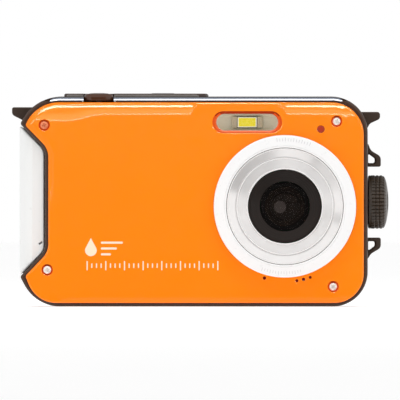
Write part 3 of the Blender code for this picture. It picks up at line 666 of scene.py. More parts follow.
def housing_shell():
    """The black tray between the two covers, with its door recess and the seats of the top's pieces."""
    shell = slab("XZ", HOUSING_OUTLINE, HOUSING_FRONT, HOUSING_BACK, 0.8, 0.2)
    cut(shell, prism("XZ", inset(HOUSING_OUTLINE, 2.4), HOUSING_FRONT + 1.6, HOUSING_BACK + 1))
    inner = HOUSING_FRONT + 1.1
    join(
        shell,
        block((47.6, inner, 9.5), (49.7, HOUSING_BACK - 0.1, 53.5)),
        block((-43.0, inner, 58.9), (43.0, -4.4, 61.2)),
        block((-36.0, inner, 58.7), (-22.6, 3.8, 61.3)),
        rod("Z", 7.3, 1.0, 6.5, TRIPOD),
    )
    recess = ((-9.7, 10.7, 0.3), (8.1, 10.7, 0.3), (8.1, 52.3, 3.3), (-9.7, 52.3, 3.3))
    wall = (HOUSING_FRONT - 1, HOUSING_FRONT + 3)
    cut(
        shell,
        mouth("YZ", recess, 49.0, 51.5, 0.2),
        mouth("YZ", rectangle((-7.6, 15.4), (6.0, 49.8), 1.5), 46.0, 49.0, 0.2),
        rod("Y", 0.65, -10.6, 9.0, HINGE, 24),
        rod("Y", 11.2, *wall, LENS, 96),
        prism("XZ", obround(FLASH, 19.7, 5.7), *wall),
        rod("Y", 1.4, *wall, LAMP, 32),
        rod("Z", 5.8, -1.0, 8.0, TRIPOD, 64),
    )
    cut(
        shell,
        block((-50.0, -10.3, 60.5), (50.0, -5.0, 65.0)),
        block((-50.0, HOUSING_FRONT - 1, 61.7), (50.0, -9.8, 65.0)),
        block((-34.4, HOUSING_FRONT - 1, 61.0), (-24.2, 2.3, 65.0)),
        rod("Z", 1.9, 57.0, 62.0, SHUTTER_STEM, 32),
        rod("Z", 1.6, 57.0, 64.0, POWER, 32),
        mouth("XY", rectangle((-40.0, -4.9), (4.0, 5.3), 1.3), 62.4, 63.1, 0.15),
    )
    piece(shell, "housing_shell", BODY, "body_black", "main_housing")


# The line where the cover's top starts to slope back, left of the flash and right of it.
TOP_CREASE = (
    (-52.0, 56.4), (-50.2, 56.35), (-48.4, 56.3), (-46.4, 56.0), (-44.6, 55.85), (-38.6, 55.8),
    (-37.0, 55.9), (-35.4, 56.2), (-33.6, 56.75), (-31.8, 57.25), (-30.0, 57.55), (-28.0, 57.7),
    (-1.7, 57.8), (0.0, 60.7), (0.2, 61.5),
)
RIGHT_CREASE = ((25.1, 61.5), (25.4, 60.7), (27.3, 57.8), (40.5, 57.7), (52.0, 57.2))
CREASE_WIDTH = 0.35
# The cover's edges and hollows, each as the drop of its front at distances from a line or a centre.
RIM = (
    (0.0, 1.05), (0.04, 0.93), (0.1, 0.8), (0.2, 0.66), (0.3, 0.56), (0.4, 0.485), (0.55, 0.395),
    (0.7, 0.312), (0.85, 0.235), (1.0, 0.165), (1.15, 0.105), (1.35, 0.045), (1.6, 0.01), (1.9, 0.0),
)
POD_RIM = ((0.0, 0.55), (0.05, 0.35), (0.15, 0.19), (0.3, 0.07), (0.5, 0.0))
FLASH_MOUTH = ((-0.22, 0.0), (-0.12, 0.0), (0.0, 0.05), (0.1, 0.3), (0.4, 0.8), (1.0, 1.15))
LAMP_MOUTH = ((1.27, 0.0), (1.2, 0.0), (1.17, 0.03), (1.14, 0.1))
SCREW_MOUTH = ((1.85, 0.0), (1.76, 0.0), (1.72, 0.03), (1.67, 0.12), (1.6, 0.4), (1.3, 0.6), (1.0, 0.8))
FLASH_OUTER = (20.9, 6.6)
FLASH_INNER = (18.5, 5.0)


def read_line(value, pairs):
    """Reads the height of a line through points, in either order, at an array of values."""
    across, up = zip(*sorted(pairs))
    return np.interp(value, across, up)


def soft_step(value, low, high):
    share = np.clip((value - low) / (high - low), 0.0, 1.0)
    return share * share * (3 - 2 * share)


def soft_ramp(distance, width):
    """0 below a line and the distance above it, turning smoothly over a width."""
    turning = (distance + width) ** 2 / (4 * width)
    return np.where(distance <= -width, 0.0, np.where(distance >= width, distance, turning))


def bands(x, z):
    """How far the cover's front lies behind its middle because of the bands that slope to its edges."""
    rise = soft_ramp(z - read_line(x, TOP_CREASE + RIGHT_CREASE), CREASE_WIDTH)
    drop = 0.11 * rise + 0.016 * rise**2
    drop += 0.045 * soft_ramp(x - 45.5, 3.5)
    drop += 0.035 * soft_ramp(-39.2 - x, 1.2)
    drop += 0.02 * soft_ramp(3.6 - z, 1.0)
    return drop


def flash_ring(share):
    """The flash opening's outline, part of the way down its funnel."""
    size = [outer + (inner - outer) * share for outer, inner in zip(FLASH_OUTER, FLASH_INNER)]
    return rounded(obround(FLASH, *size), 6.0)


def cover_front(points):
    """The depth of the cover's front at an array of points."""
    x, z = points[:, 0], points[:, 1]
    outline = rounded(COVER_OUTLINE)
    depth = COVER_FRONT + bands(x, z)
    inward = distances(points, outline) * np.where(inside(points, outline), 1.0, 0.0)
    on_pod = soft_step(x, -1.2, 0.3) * soft_step(-x, -26.7, -25.2) * (z > 50)
    on_foot = soft_step(-x, 36.0, 42.0) * soft_step(-z, -40.0, -30.0)
    sharp = np.maximum(np.maximum(on_pod, on_foot), soft_step(x, 42.0, 46.5))
    depth += read_line(inward, RIM) * (1 - sharp) + read_line(inward, POD_RIM) * sharp
    outer, inner = flash_ring(0.0), flash_ring(1.0)
    to_outer, to_inner = distances(points, outer), distances(points, inner)
    into = to_outer / (to_outer + to_inner) * np.where(inside(points, outer), 1.0, -1.0)
    depth += read_line(into, FLASH_MOUTH) * (to_inner < 4.0)
    hollows = [(screw, SCREW_MOUTH) for screw in SCREWS] + [(LAMP, LAMP_MOUTH)]
    hollows += [(hole, ((size + 0.12, 0.0), (size, 0.08))) for hole, size in sound_holes()]
    for centre, pairs in hollows:
        depth += read_line(np.linalg.norm(points - centre, axis=1), pairs)
    return np.minimum(depth, COVER_BACK - 0.02)


def cover_plate():
    """The orange front: sloping bands, a rounded rim, a funnelled flash window and sunk screws."""
    guides = [rounded(inset(COVER_OUTLINE, distance)) for distance, _ in RIM[1:] + POD_RIM[1:]]
    guides += [flash_ring(share) for share, _ in FLASH_MOUTH[:-1]]
    holes = [flash_ring(1.0), circle(LENS, 20.0, 120)]
    for screw in SCREWS:
        guides += [circle(screw, radius, 36) for radius, _ in SCREW_MOUTH[:-1]]
        holes.append(circle(screw, 1.0, 36))
    guides += [circle(LAMP, radius, 36) for radius, _ in LAMP_MOUTH[:-1]]
    holes.append(circle(LAMP, 1.14, 36))
    for hole, size in sound_holes():
        guides += [circle(hole, size + 0.2, 20), circle(hole, size + 0.12, 20)]
        holes.append(circle(hole, size, 20))
    creases = []
    for line in (TOP_CREASE[1:-1], RIGHT_CREASE[1:-1]):
        for share in (-1.0, -0.5, 0.0, 0.5, 1.0):
            creases.append([(x, z + share * CREASE_WIDTH) for x, z in line])
    outline = rounded(COVER_OUTLINE)
    plate = relief(outline, holes, guides, creases, (0.9, 0.9), cover_front, COVER_BACK + 0.2)
    piece(plate, "cover_plate", COVER, "cover_orange", "front_cover")
    plate.data.materials.append(COVER_WELL_SHADE)
    plate.data.materials.append(COVER_SHADE)
    # Painted shade: faces in the flash funnel and the screw wells take the recess colours.
    centres = np.array([face.center for face in plate.data.polygons]) / MM
    shaded_wells = np.zeros(len(centres), bool)
    for well in [flash_ring(0.03)] + [circle(screw, 1.71, 36) for screw in SCREWS]:
        shaded_wells |= inside(centres[:, [0, 2]], well)
    for index in np.flatnonzero(shaded_wells):
        face = plate.data.polygons[index]
        # Walls facing down take the darker painted shade, the others the painted recess shade.
        face.material_index = 2 if face.normal.z < -0.5 else 1
    # Dust mesh discs in the sound holes, coloured as painted shade of the holes.
    meshes = [rod("Y", size, COVER_FRONT + 0.25, COVER_BACK, hole, 20) for hole, size in sound_holes()]
    piece(merged(*meshes), "dust_meshes", SHADED_DUST_MESH, "cover_orange")


def sound_holes():
    """The microphone's hole and the speaker's three, each with its radius."""
    x, z = seen("speaker")
    return [
        (seen("microphone"), 0.5), ((x - 2.0, z - 0.4), 0.45), ((x, z), 0.5), ((x + 2.0, z + 0.6), 0.45),
    ]


def rear_shell():
    """The screen side, with a rounded rim and a softened edge at each opening."""
    shell = slab("XZ", REAR_OUTLINE, REAR_FRONT, REAR_BACK, 0.15, 1.8)
    pocket = around("lcd_window", "XZ", 2.0, 0.3)
    view = rectangle((-12.0, 11.0), (42.5, 52.5), 0.8)
    through = (REAR_FRONT - 1, REAR_BACK)
    cut(shell, mouth("XZ", pocket, 11.5, REAR_BACK, 0.12), mouth("XZ", view, *through, 0.1))
    for name in ("ok_button", "menu_button", "playback_button"):
        width = 2 * (key_radius(name) + 0.35)
        cut(shell, mouth("XZ", obround(seen(name), width, width), *through, 0.2))
    cut(shell, mouth("XZ", obround(seen("zoom_rocker"), 15.8, 6.8), *through, 0.2))
    cut(shell, *[prism("XZ", arc_key(i, 4.65, 9.35, 41.5), 8.0, 14.0) for i in range(4)])
    piece(shell, "rear_shell", REAR, "rear_black", "rear_cover")
    dots = []
    rise = ((0.0, 0.35, 0), (0.35, 0.27, 0), (0.6, -0.1, 0), (0.0, -0.1, 0))
    dot = [(radius, REAR_BACK + along, turn) for radius, along, turn in rise]
    for row in range(4):
        for column in range(3):
            place = (-48.2 + 1.7 * column, 43.0 + 2.6 * row + 1.3 * (column % 2))
            dots.append(turned("Y", dot, place, 20))
    piece(merged(*dots), "thumb_dots", REAR, "rear_black")


def key_radius(name):
    """A round key's radius, which its flange passes by 0.6."""
    low, high = span(name)
    return (high.x - low.x) / 2 - 0.6


def arc_key(quarter_turn, inner, outer, half_angle, count=10):
    """The corners of a piece of the ring of keys."""
    centre = seen("ok_button")
    facing = 90.0 * quarter_turn
    angles = [math.radians(facing + half_angle * (2 * i / count - 1)) for i in range(count + 1)]
    points = [polar(centre, outer, a) for a in angles] + [polar(centre, inner, a) for a in reversed(angles)]
    return [(*point, 0) for point in points]


def shutter_plan(room):
    """The shutter button's outline seen from above, grown by some room."""
    return around("shutter_button", "XY", 2.4 + room, room)


def shutter_body():
    """A pebble with upright sides and a low dome, and its stem."""
    foot = 61.7
    rows = (
        (0.0, 0.3), (0.2, 0.08), (0.45, 0.0), (1.35, 0.02), (1.75, 0.15),
        (2.0, 0.5), (2.18, 1.1), (2.32, 1.9), (2.42, 3.0),
    )
    sections = []
    for rise, narrowing in rows:
        corners = inset(shutter_plan(0.0), narrowing)
        sections.append((foot + rise, [(a, b, max(radius, 0.3)) for a, b, radius in corners]))
    return join(lofted("XY", sections, 7.5), rod("Z", 1.6, 57.9, 62.3, SHUTTER_STEM, 32))


def shutter_notch():
    """The gap in the bright strip, with hollowed ends that follow the button's rounded sides."""
    low, high = span("shutter_button")
    rows = ((61.3, 0.1), (61.8, 0.12), (62.15, 0.15), (62.6, 0.1), (63.0, 0.07), (63.4, -0.1))
    shape = [(low.x - reach, z, 0) for z, reach in rows]
    shape += [(high.x + reach, z, 0) for z, reach in reversed(rows)]
    return prism("XZ", shape, -12.5, 3.0)


def trim_strip():
    """The bright strip along the top, hollow behind its rolled front, with slanted ends."""
    low, high = span("top_trim")
    front = low.y
    slope = ((front, 1.18), (front + 0.04, 1.02), (front + 0.24, 0.66), (front + 0.5, 0.4))
    slope += ((front + 1.0, 0.22), (high.y, 0.15))
    hollow = ((front - 1, 1.2), (front + 0.9, 1.2), (front + 1.0, 2.2), (high.y + 1, 2.2))
    strip = stepped("XZ", HOUSING_OUTLINE, slope, 3.0)
    cut(strip, stepped("XZ", HOUSING_OUTLINE, hollow, 3.0))
    common(strip, block((-46.0, -12.0, 58.0), (46.0, -4.0, 65.0)))
    for side in (-1, 1):
        slant = ((44.9, 60.9), (42.6, 63.1), (60.0, 63.1), (60.0, 55.0), (44.9, 55.0))
        cut(strip, prism("XZ", [(side * x, z, 0) for x, z in slant], -12.0, -4.0))
    cut(strip, shutter_notch(), block((-34.4, -12.5, 61.05), (-24.2, 2.3, 61.4)))
    join(strip, block((-36.0, -6.4, 60.6), (-22.0, -5.4, 61.0)))
    piece(strip, "trim_strip", CHROME, "trim_chrome", "top_trim")


def top_pieces():
    """The dark panel behind the bright strip, and the two buttons there."""
    outline = ((-39.7, -4.6, 1.0), (3.7, -4.6, 4.0), (3.7, 5.0, 4.0), (-39.7, 5.0, 1.0))
    panel = slab("XY", outline, 62.7, 64.0, 0.0, 0.55)
    key_hole = mouth("XY", obround(POWER, 7.6, 5.0), 62.0, 64.0, 0.2)
    cut(panel, prism("XY", shutter_plan(0.2), 62.0, 66.0), key_hole)
    side_view = ((-45.0, 62.0, 0.1), (3.9, 62.0, 0.1), (3.9, 64.0, 1.1), (-45.0, 64.0, 0.1))
    common(panel, prism("XZ", side_view, -8.0, 8.0))
    piece(panel, "top_panel", PAD, "pad_black", "top_pad")
    panel.data.materials.append(PAD_REFLECTION)
    # Painted reflection: the faces towards the front take the lighter grey.
    for face in panel.data.polygons:
        if face.normal.y < -0.97 and face.center.y < -4.4 * MM:
            face.material_index = 1
    piece(shutter_body(), "shutter_key", SHUTTER, "shutter_black", "shutter_button", body="shutter_button")
    top = span("power_button")[1].z
    key = slab("XY", obround(POWER, 7.0, 4.4), 63.1, top, 0.1, 0.3)
    cut(key, power_mark(top))
    join(key, rod("Z", 1.3, 57.6, 63.5, POWER, 32))
    piece(key, "power_key", KEY, "key_silver", "power_button", body="power_button")


def power_mark(top):
    """A broken ring with a bar, sunk into the power key."""
    x, y = POWER
    angles = [math.radians(125.0 + 290.0 * i / 24) for i in range(25)]
    broken = [polar(POWER, 1.05, a) for a in angles] + [polar(POWER, 0.8, a) for a in reversed(angles)]
    shapes = ([(*point, 0) for point in broken], rectangle((x - 0.12, y + 0.3), (x + 0.12, y + 1.3), 0.1))
    return merged(*[prism("XY", corners, top - 0.12, top + 0.2) for corners in shapes])


def grip():
    """The pale panel in the waist. Its side swells outwards and its ends follow the waist's slopes."""
    side, middle_y, reach, front_half, back_half = -53.1, -0.5, 7.2, 9.9, 9.8
    edge, bottom, top = -45.75, 16.9, 47.0
    slope = (54.7 - top) / (53.1 + edge)
    turns = [math.radians(60.0 * (1 - i / 12)) for i in range(13)]
    places = [(side + reach * (1 - math.cos(t)), middle_y - front_half * math.sin(t)) for t in turns]
    places += [(side + 1.5 * (i / 6) ** 2, middle_y + back_half * i / 6) for i in range(1, 7)]
    sections = []
    for x, y in places:
        rise = (edge - x) * slope
        bend = min(4.5, rise * 0.9)
        sections.append(
            (y, ((x, top + rise, 0.4), (edge, top, bend), (edge, bottom, bend), (x, bottom - rise, 0.4)))
        )
    front_y, first = sections[0]
    sections.insert(0, (front_y - 0.25, inset(first, 0.25)))
    panel = lofted("XZ", sections)
    slot = spun(centred((0.0, 0.0), 1.3, 0.54, 0.2), math.radians(35.0), (-46.7, 19.1))
    cut(panel, prism("XZ", slot, -12.0, -7.0))
    piece(panel, "grip_swell", SILVER, "grip_silver", "grip_panel")


def strap_loops():
    """The wrist-strap loops at the two upper corners."""
    left = (
        (-46.0, 59.9, 0.1), (-55.4, 59.9, 0.6), (-55.4, 57.6, 1.4), (-52.4, 56.1, 0.8), (-46.0, 55.6, 0.1),
    )
    right = (
        (46.0, 58.5, 0.1), (55.3, 58.5, 0.9), (55.3, 56.4, 1.2),
        (52.3, 55.0, 1.5), (51.3, 53.3, 1.0), (46.0, 53.0, 0.1),
    )
    for side, corners, ends in (("left", left, (-54.0, -51.3)), ("right", right, (51.3, 53.9))):
        loop = slab("XZ", corners, -3.0, 5.0, 0.4, 0.4, 6.0)
        cut(loop, prism("XZ", inset(HOUSING_OUTLINE, -0.15), -4.0, 6.0))
        cut(loop, prism("XY", rectangle((ends[0], -1.5), (ends[1], 3.5), 0.8), 50.0, 62.0))
        piece(loop, "strap_loop_" + side, MATT, "lug_black", "strap_lug_" + side)


def screws():
    """Cross-head screws, each turned a little differently, as screws end up."""
    arm = centred((0.0, 0.0), 1.56, 0.3, 0.05)
    tip = centred((0.0, 0.0), 1.0, 0.16, 0.04)
    for corner, place, degrees in zip(CORNERS, SCREWS, (20.0, 65.0, 5.0, 40.0)):
        front = span("front_screw_" + corner)[0].y
        head = ((0.0, -8.2, 0), (0.7, -8.2, 0), (0.7, -11.9, 0), (1.18, -11.9, 0.08), (1.18, -12.1, 0.12))
        screw = turned("Y", head + ((0.75, front + 0.16, 0.2), (0.0, front + 0.1, 0)), place, 40)
        turn = math.radians(degrees)
        for angle in (turn, turn + math.pi / 2):
            rows = ((front - 0.2, arm), (front, arm), (front + 0.45, tip))
            cut(screw, lofted("XZ", [(y, spun(corners, angle, place)) for y, corners in rows], 30.0))
        # The upper left screw takes the painted orange reflection.
        screw_material = SCREW_ORANGE_REFLECTION if corner == "upper_left" else SCREW
        piece(screw, "screw_" + corner, screw_material, "screw_chrome", "front_screw_" + corner)


# ---------------------------------------------------------------- lens


def lens_front():
    """The flat ring with its ticks, and the two-step metal dish with its lips."""
    front = BEZEL_FRONT
    ring = (
        (17.62, COVER_BACK, 0), (19.6, COVER_BACK, 0), (19.6, COVER_FRONT - 0.15, 0),
        (21.35, COVER_FRONT - 0.15, 0.1), (21.35, front + 0.02, 0.45), (18.3, front, 0.04),
        (18.22, front + 0.16, 0.03), (18.1, front + 0.16, 0.03), (18.02, front, 0.05),
        (17.62, front + 0.12, 0.08),
    )
    piece(turned("Y", ring, LENS, 144), "bezel_ring", RING, "bezel_silver", "lens_bezel")
    marks = []
    for start, count in ((68.0, 13), (250.0, 15)):
        for i in range(count):
            angle = math.radians(start + 2.4 * i)
            outer = 20.35 if i % 3 else 20.6
            ends = ((19.5, -1), (outer, -1), (outer, 1), (19.5, 1))
            corners = [(*polar(LENS, radius, angle + side * 0.004), 0) for radius, side in ends]
            marks.append(flat_mark(corners, front))
    piece(merged(*marks), "bezel_ticks", RING_MARK, "bezel_silver")
    dish = (
        (11.2, -11.9, 0), (17.5, COVER_BACK, 0), (17.5, -14.55, 0.1), (17.2, -14.6, 0.05),
        (14.95, -13.54, 0.04), (14.4, -13.62, 0.04), (14.2, -13.5, 0.05), (11.65, -13.1, 0.04),
        (11.5, -13.22, 0.03), (11.1, -13.29, 0.03),
    )
    piece(turned("Y", dish, LENS, 144), "dish_cone", DISH, "dish_silver", "lens_dish")
    # Pale lips on the dish's steps: painted highlights on the step edges.
    lips = []
    for radius, place in ((17.28, -14.66), (14.42, -13.68), (11.28, -13.34)):
        inner, outer, back = radius - 0.13, radius + 0.13, place + 0.2
        lip = ((inner, place, 0.05), (outer, place, 0.05), (outer, back, 0), (inner, back, 0))
        lips.append(turned("Y", lip, LENS, 144))
    piece(merged(*lips), "dish_lips", LIP_HIGHLIGHT, "dish_silver")


def lens_inside():
    """The black funnel and the glass, with the lens behind it."""
    hood = [(7.9, -8.8, 0), (10.9, -8.8, 0), (10.9, -13.3, 0.15), (10.45, -13.3, 0.1)]
    for i in range(4):
        along = i / 4
        radius = 10.3 - 2.75 * along
        hood += [(radius, -13.1 + 1.3 * along, 0.03), (radius - 0.55, -12.9 + 1.3 * along, 0.03)]
    hood += [(7.4, -11.7, 0.05), (7.9, -11.7, 0)]
    piece(turned("Y", hood, LENS, 120), "hood_funnel", HOOD, "hood_black", "lens_hood")
    sheet = ((0.0, -10.4, 0), (7.6, -10.4, 0.1), (7.6, -11.4, 0.15), (0.0, -11.45, 0))
    piece(turned("Y", sheet, LENS), "glass_pane", GLASS, "lens_glass", "lens_glass")
    barrel = [(3.9, -5.3, 0), (6.0, -5.3, 0), (6.0, -9.9, 0.1), (5.75, -9.95, 0.05)]
    for radius in (5.6, 5.2, 4.8):
        barrel += [(radius, -9.9, 0.03), (radius - 0.1, -9.7, 0.03), (radius - 0.3, -9.7, 0.03)]
    barrel += [(4.45, -9.2, 0.05), (4.45, -7.9, 0), (3.9, -7.9, 0)]
    piece(turned("Y", barrel, LENS), "barrel_rings", BARREL, "barrel_black", "lens_barrel")
    dome = [(0.0, -8.2, 0), (4.4, -8.2, 0)]
    for i in range(9):
        angle = math.radians(90.0 - 10.0 * i)
        dome.append((4.3 * math.sin(angle), -9.0 - 0.65 * math.cos(angle), 0))
    dome.append((0.0, -9.65, 0))
    piece(turned("Y", dome, LENS, 72), "lens_dome", COATED, "lens_glass", "lens_element")
    # Painted reflection: a grey disc, set off the lens's middle, where the middle element mirrors its
    # surroundings.
    reflection_shape = ((0.0, -9.95, 0), (1.75, -9.8, 0.1), (1.85, -9.6, 0), (0.0, -9.6, 0))
    place = (LENS[0] - 1.4, LENS[1] - 0.2)
    piece(turned("Y", reflection_shape, place, 48), "lens_iris", LENS_REFLECTION, "barrel_black")


# ---------------------------------------------------------------- front details


def flash():
    """The ribbed window, the bright tray behind it, and the lamp chip on its pads."""
    x, z = FLASH
    outline = obround(FLASH, 19.6, 5.3)
    face = COVER_BACK - 0.15

    def ribs(points):
        return face + 0.09 * np.cos(math.tau * (points[:, 0] - x) / 0.62)

    guides = [rounded(inset(outline, 0.15), 6.0)]
    window = relief(rounded(outline, 6.0), [], guides, [], (0.105, 0.9), ribs, COVER_BACK + 0.15)
    piece(window, "flash_pane", WINDOW, "flash_clear", "flash_window")
    low, high = span("flash_reflector")
    tray = slab("XZ", obround(FLASH, 19.1, 5.1), low.y, high.y, 0.1, 0.2)
    basin = [(low.y - 1, obround(FLASH, 18.7, 4.7)), (low.y, obround(FLASH, 18.7, 4.7))]
    for share in (0.2, 0.4, 0.6, 0.8, 1.0):
        depth = low.y + (high.y - 0.6 - low.y) * math.sin(share * math.pi / 2)
        basin.append((depth, obround(FLASH, 18.7 - 9.0 * share, 4.7 - 0.5 * share)))
    cut(tray, lofted("XZ", basin, 6.0))
    piece(tray, "flash_tray", MIRROR, "reflector_chrome", "flash_reflector")
    front = span("flash_led")[0].y

    def layer(half_width, near, half_height, far, radius, centre=x):
        low = (centre - half_width, front + near, z - half_height)
        return soft_block(low, (centre + half_width, front + far, z + half_height), radius)

    pads = [layer(0.8, 0.25, 1.7, 0.7, 0.2, x + side * 3.85) for side in (-1, 1)]
    piece(merged(*pads), "led_pads", SOLDER, "part_steel")
    piece(layer(4.1, 0.45, 1.85, 0.75, 0.2), "led_base", CHIP, "chip_black")
    # The LED's body and phosphor glow faintly: painted light for the light falling on them.
    piece(layer(2.85, 0.02, 1.52, 0.7, 0.15), "led_body", CERAMIC, "led_yellow")
    piece(layer(2.55, -0.12, 1.28, 0.3, 0.12), "led_phosphor", PHOSPHOR, "led_yellow", "flash_led")


def lamp():
    """The small red lamp, with a low dome."""
    low, high = span("timer_lamp")
    dome = ((0.0, high.y, 0), (1.1, high.y, 0.05), (1.1, low.y + 0.3, 0.1), (0.7, low.y + 0.15, 0.3))
    light = turned("Y", dome + ((0.0, low.y + 0.1, 0),), LAMP, 48)
    piece(light, "timer_light", RED, "lamp_red", "timer_lamp")


def flat_mark(corners, face=COVER_FRONT):
    """A printed mark on a face of the lens side, just proud of it."""
    return prism("XZ", corners, face - 0.02, face + 0.05, 8.0)


def print_marks():
    """Plain printed marks in place of lettering: a drop beside three bars, over a row of ticks."""
    tip = (-31.6, 20.6)
    belly = (tip[0], tip[1] - 3.7)
    drop = [(*tip, 0)]
    for i in range(25):
        drop.append((*polar(belly, 1.75, math.radians(35.0 - 250.0 * i / 24)), 0))
    marks = [flat_mark(drop)]
    for row, length in enumerate((6.6, 4.8, 3.0)):
        z = 19.2 - 1.75 * row
        marks.append(flat_mark(rectangle((-28.6, z - 0.32), (-28.6 + length, z + 0.32), 0.3)))
    for tick in range(29):
        x = -32.9 + 1.4 * tick
        height = 2.8 if tick % 4 == 0 else 1.4
        marks.append(flat_mark(rectangle((x, 12.3 - height / 2), (x + 0.36, 12.3 + height / 2), 0.17)))
    piece(merged(*marks), "front_print", PRINT, "cover_orange")


# ---------------------------------------------------------------- screen side


def screen():
    """The screen's window and the dark display behind it."""
    low, high = span("lcd_window")
    sheet = slab("XZ", around("lcd_window", "XZ", 1.8), low.y, high.y, 0.05, 0.25)
    piece(sheet, "screen_pane", SCREEN, "screen_glass", "lcd_window")
    back = span("lcd_panel")[1].y
    keep("lcd_panel", CHIP)
    view = rectangle((-11.0, 12.0), (41.5, 51.5), 0.4)
    piece(slab("XZ", view, back - 0.1, back + 0.2, 0.0, 0.1), "screen_display", DISPLAY, "screen_panel")


def key_mark(corners, top):
    return prism("XZ", corners, top - 0.08, top + 0.02, 15.0)


def triangle(centre, size, degrees):
    """A small triangle that points in a direction in X and Z."""
    turns = [math.radians(degrees + 120.0 * i) for i in range(3)]
    return [(*polar(centre, size, turn), size * 0.12) for turn in turns]


def round_key(name, signs):
    """A round key with a shallow dish in its face and printed signs, given round their middle."""
    low, high = span(name)
    front, top = low.y, high.y
    radius = key_radius(name)
    profile = (
        (0.0, top - 0.12, 0), (radius * 0.55, top - 0.08, 0.5), (radius - 0.35, top, 0.15),
        (radius, top - 0.3, 0.15), (radius, front + 0.35, 0), (radius + 0.6, front + 0.35, 0),
        (radius + 0.6, front, 0), (0.0, front, 0),
    )
    x, z = seen(name)
    key = turned("Y", profile, (x, z), 64)
    piece(key, name.replace("button", "key"), KEY, "key_silver", name, body=name)
    marks = [key_mark([(x + a, z + b, bend) for a, b, bend in corners], top - 0.08) for corners in signs]
    piece(merged(*marks), name.replace("button", "sign"), CHIP, "key_black", body=name)


def round_keys():
    bars = [centred((0.0, z), 2.2, 0.32, 0.1) for z in (-0.8, 0.0, 0.8)]
    round_key("menu_button", bars)
    round_key("playback_button", [triangle((0.0, 0.0), 1.2, 180.0)])
    round_key("ok_button", [obround((0.0, 0.0), 1.6, 1.6)])


def arc_keys():
    """The ring of four direction keys, each with a small arrow."""
    for index, name in enumerate(("left_button", "up_button", "right_button", "down_button")):
        front, top = (corner.y for corner in span(name))
        rows = (
            (front, 4.75, 9.5, 40.0), (front + 0.45, 4.75, 9.5, 40.0), (front + 0.46, 5.0, 9.0, 38.0),
            (top - 0.3, 5.0, 9.0, 38.0), (top - 0.08, 5.1, 8.9, 37.2), (top, 5.35, 8.65, 35.5),
        )
        body = lofted("XZ", [(y, arc_key(index, *size)) for y, *size in rows])
        piece(body, name.replace("button", "key"), KEY_BLACK, "key_black", name, body=name)
        spot = polar(seen("ok_button"), 7.0, math.radians(90.0 * index))
        mark = key_mark(triangle(spot, 0.85, 90.0 * index), top)
        piece(mark, name.replace("button", "sign"), PRINT_WHITE, "key_silver", body=name)


def zoom_key():
    """The rocker, with a dip in its middle, a stem, and a minus and a plus sign."""
    x, z = seen("zoom_rocker")
    low, high = span("zoom_rocker")
    key = slab("XZ", obround((x, z), 15.0, 6.0), 10.2, high.y, 0.0, 0.55)
    dip = ((0.0, high.y - 0.3, 0), (2.2, high.y + 0.4, 0), (0.0, high.y + 0.4, 0))
    cut(key, turned("Y", dip, (x, z), 64))
    join(key, block((x - 1.0, low.y, z - 1.5), (x + 1.0, 10.6, z + 1.5)))
    piece(key, "zoom_key", KEY, "key_silver", "zoom_rocker", body="zoom_rocker")
    bars = ((-4.6, 1.6, 0.28), (4.6, 1.6, 0.28), (-4.6, 0.28, 1.6))
    marks = [key_mark(centred((x + across, z), *size, 0.1), high.y) for across, *size in bars]
    piece(merged(*marks), "zoom_signs", CHIP, "key_black", body="zoom_rocker")


# ---------------------------------------------------------------- side door


def guard(direction, flat, tip):
    """A loop beside the knob, with a hollow curve down to the door at its outer end."""
    rows = (
        (50.7, flat, 0.1), (55.5, flat, 0.6), (55.5, flat + 3.1 * direction, 1.7),
        (52.5, flat + 4.9 * direction, 2.4), (51.8, tip - 0.7 * direction, 1.0),
        (50.7, tip + 0.4 * direction, 0.1),
    )
    loop = slab("XZ", rows, -5.0, 3.4, 0.35, 0.35, 6.0)
    corners = ((51.7, 1.1, 0.3), (53.7, 1.1, 0.6), (53.7, 2.5, 0.8), (51.7, 4.0, 0.3))
    hole = [(x, flat + reach * direction, radius) for x, reach, radius in corners]
    pairs = ((-6.0, -0.45), (-5.0, -0.45), (-4.5, 0.0), (3.0, 0.0), (3.4, -0.35), (4.5, -0.35))
    return cut(loop, stepped("XZ", hole, pairs, 10.0))


def side_dot(y, z, low, high):
    """A small round printed dot on the side, at a place measured from the knob's middle."""
    return slab("YZ", obround((KNOB[0] + y, KNOB[1] + z), 0.8, 0.8), low, high, 0, 0.05)


def door():
    """The side door with its hinge barrel, the guards and the collar round the knob."""
    low, high = span("side_door")
    bottom = HINGE[1]
    left, right, top = low.y, high.y, high.z
    outline = ((left, bottom, 0.2), (right, bottom, 0.2), (right, top, 3.0), (left, top, 3.0))
    leaf = slab("YZ", outline, 49.9, 51.5, 0.1, 0.35)
    join(leaf, rod("Y", 1.1, left, right, HINGE))
    join(leaf, guard(1, 42.0, 49.4), guard(-1, 20.7, 13.9))
    collar = ((2.2, 51.3, 0), (7.6, 51.3, 0), (7.5, 51.62, 0.1), (2.2, 51.62, 0))
    join(leaf, turned("X", collar, KNOB, 72))
    cut(leaf, rod("Y", 0.6, left - 1, right + 1, HINGE, 24), rod("X", 2.2, 48.0, 53.0, KNOB))
    piece(leaf, "door_leaf", MATT, "door_black", "side_door", body="door")
    dots = [side_dot(y, z, 51.4, 51.6) for y, z in ((0.0, 8.9), (6.2, 6.4))]
    piece(merged(*dots), "door_dots", PRINT_WHITE, "key_silver", body="door")
    keep("door_seal", SEAL, 0.1)
    keep("door_hinge_pin", STEEL)


TEETH = 44
DOME_START = 55.9
DOME_REACH = 1.92


def knob_radius(x, angle):
    """The knob's radius: a barrel whose rim is cut by lengthwise grooves and three rings."""
    radius = 8.04
    if x > DOME_START:
        radius *= math.sqrt(1 - ((x - DOME_START) / DOME_REACH) ** 2)
    if 52.75 < x < 57.0:
        tooth = abs(math.sin(angle * TEETH / 2))
        radius -= 0.32 * (1 - min(1.0, tooth * 1.9))
        for ring in (53.85, 55.0, 56.1):
            radius -= 0.24 * math.exp(-(((x - ring) / 0.16) ** 2))
    return radius


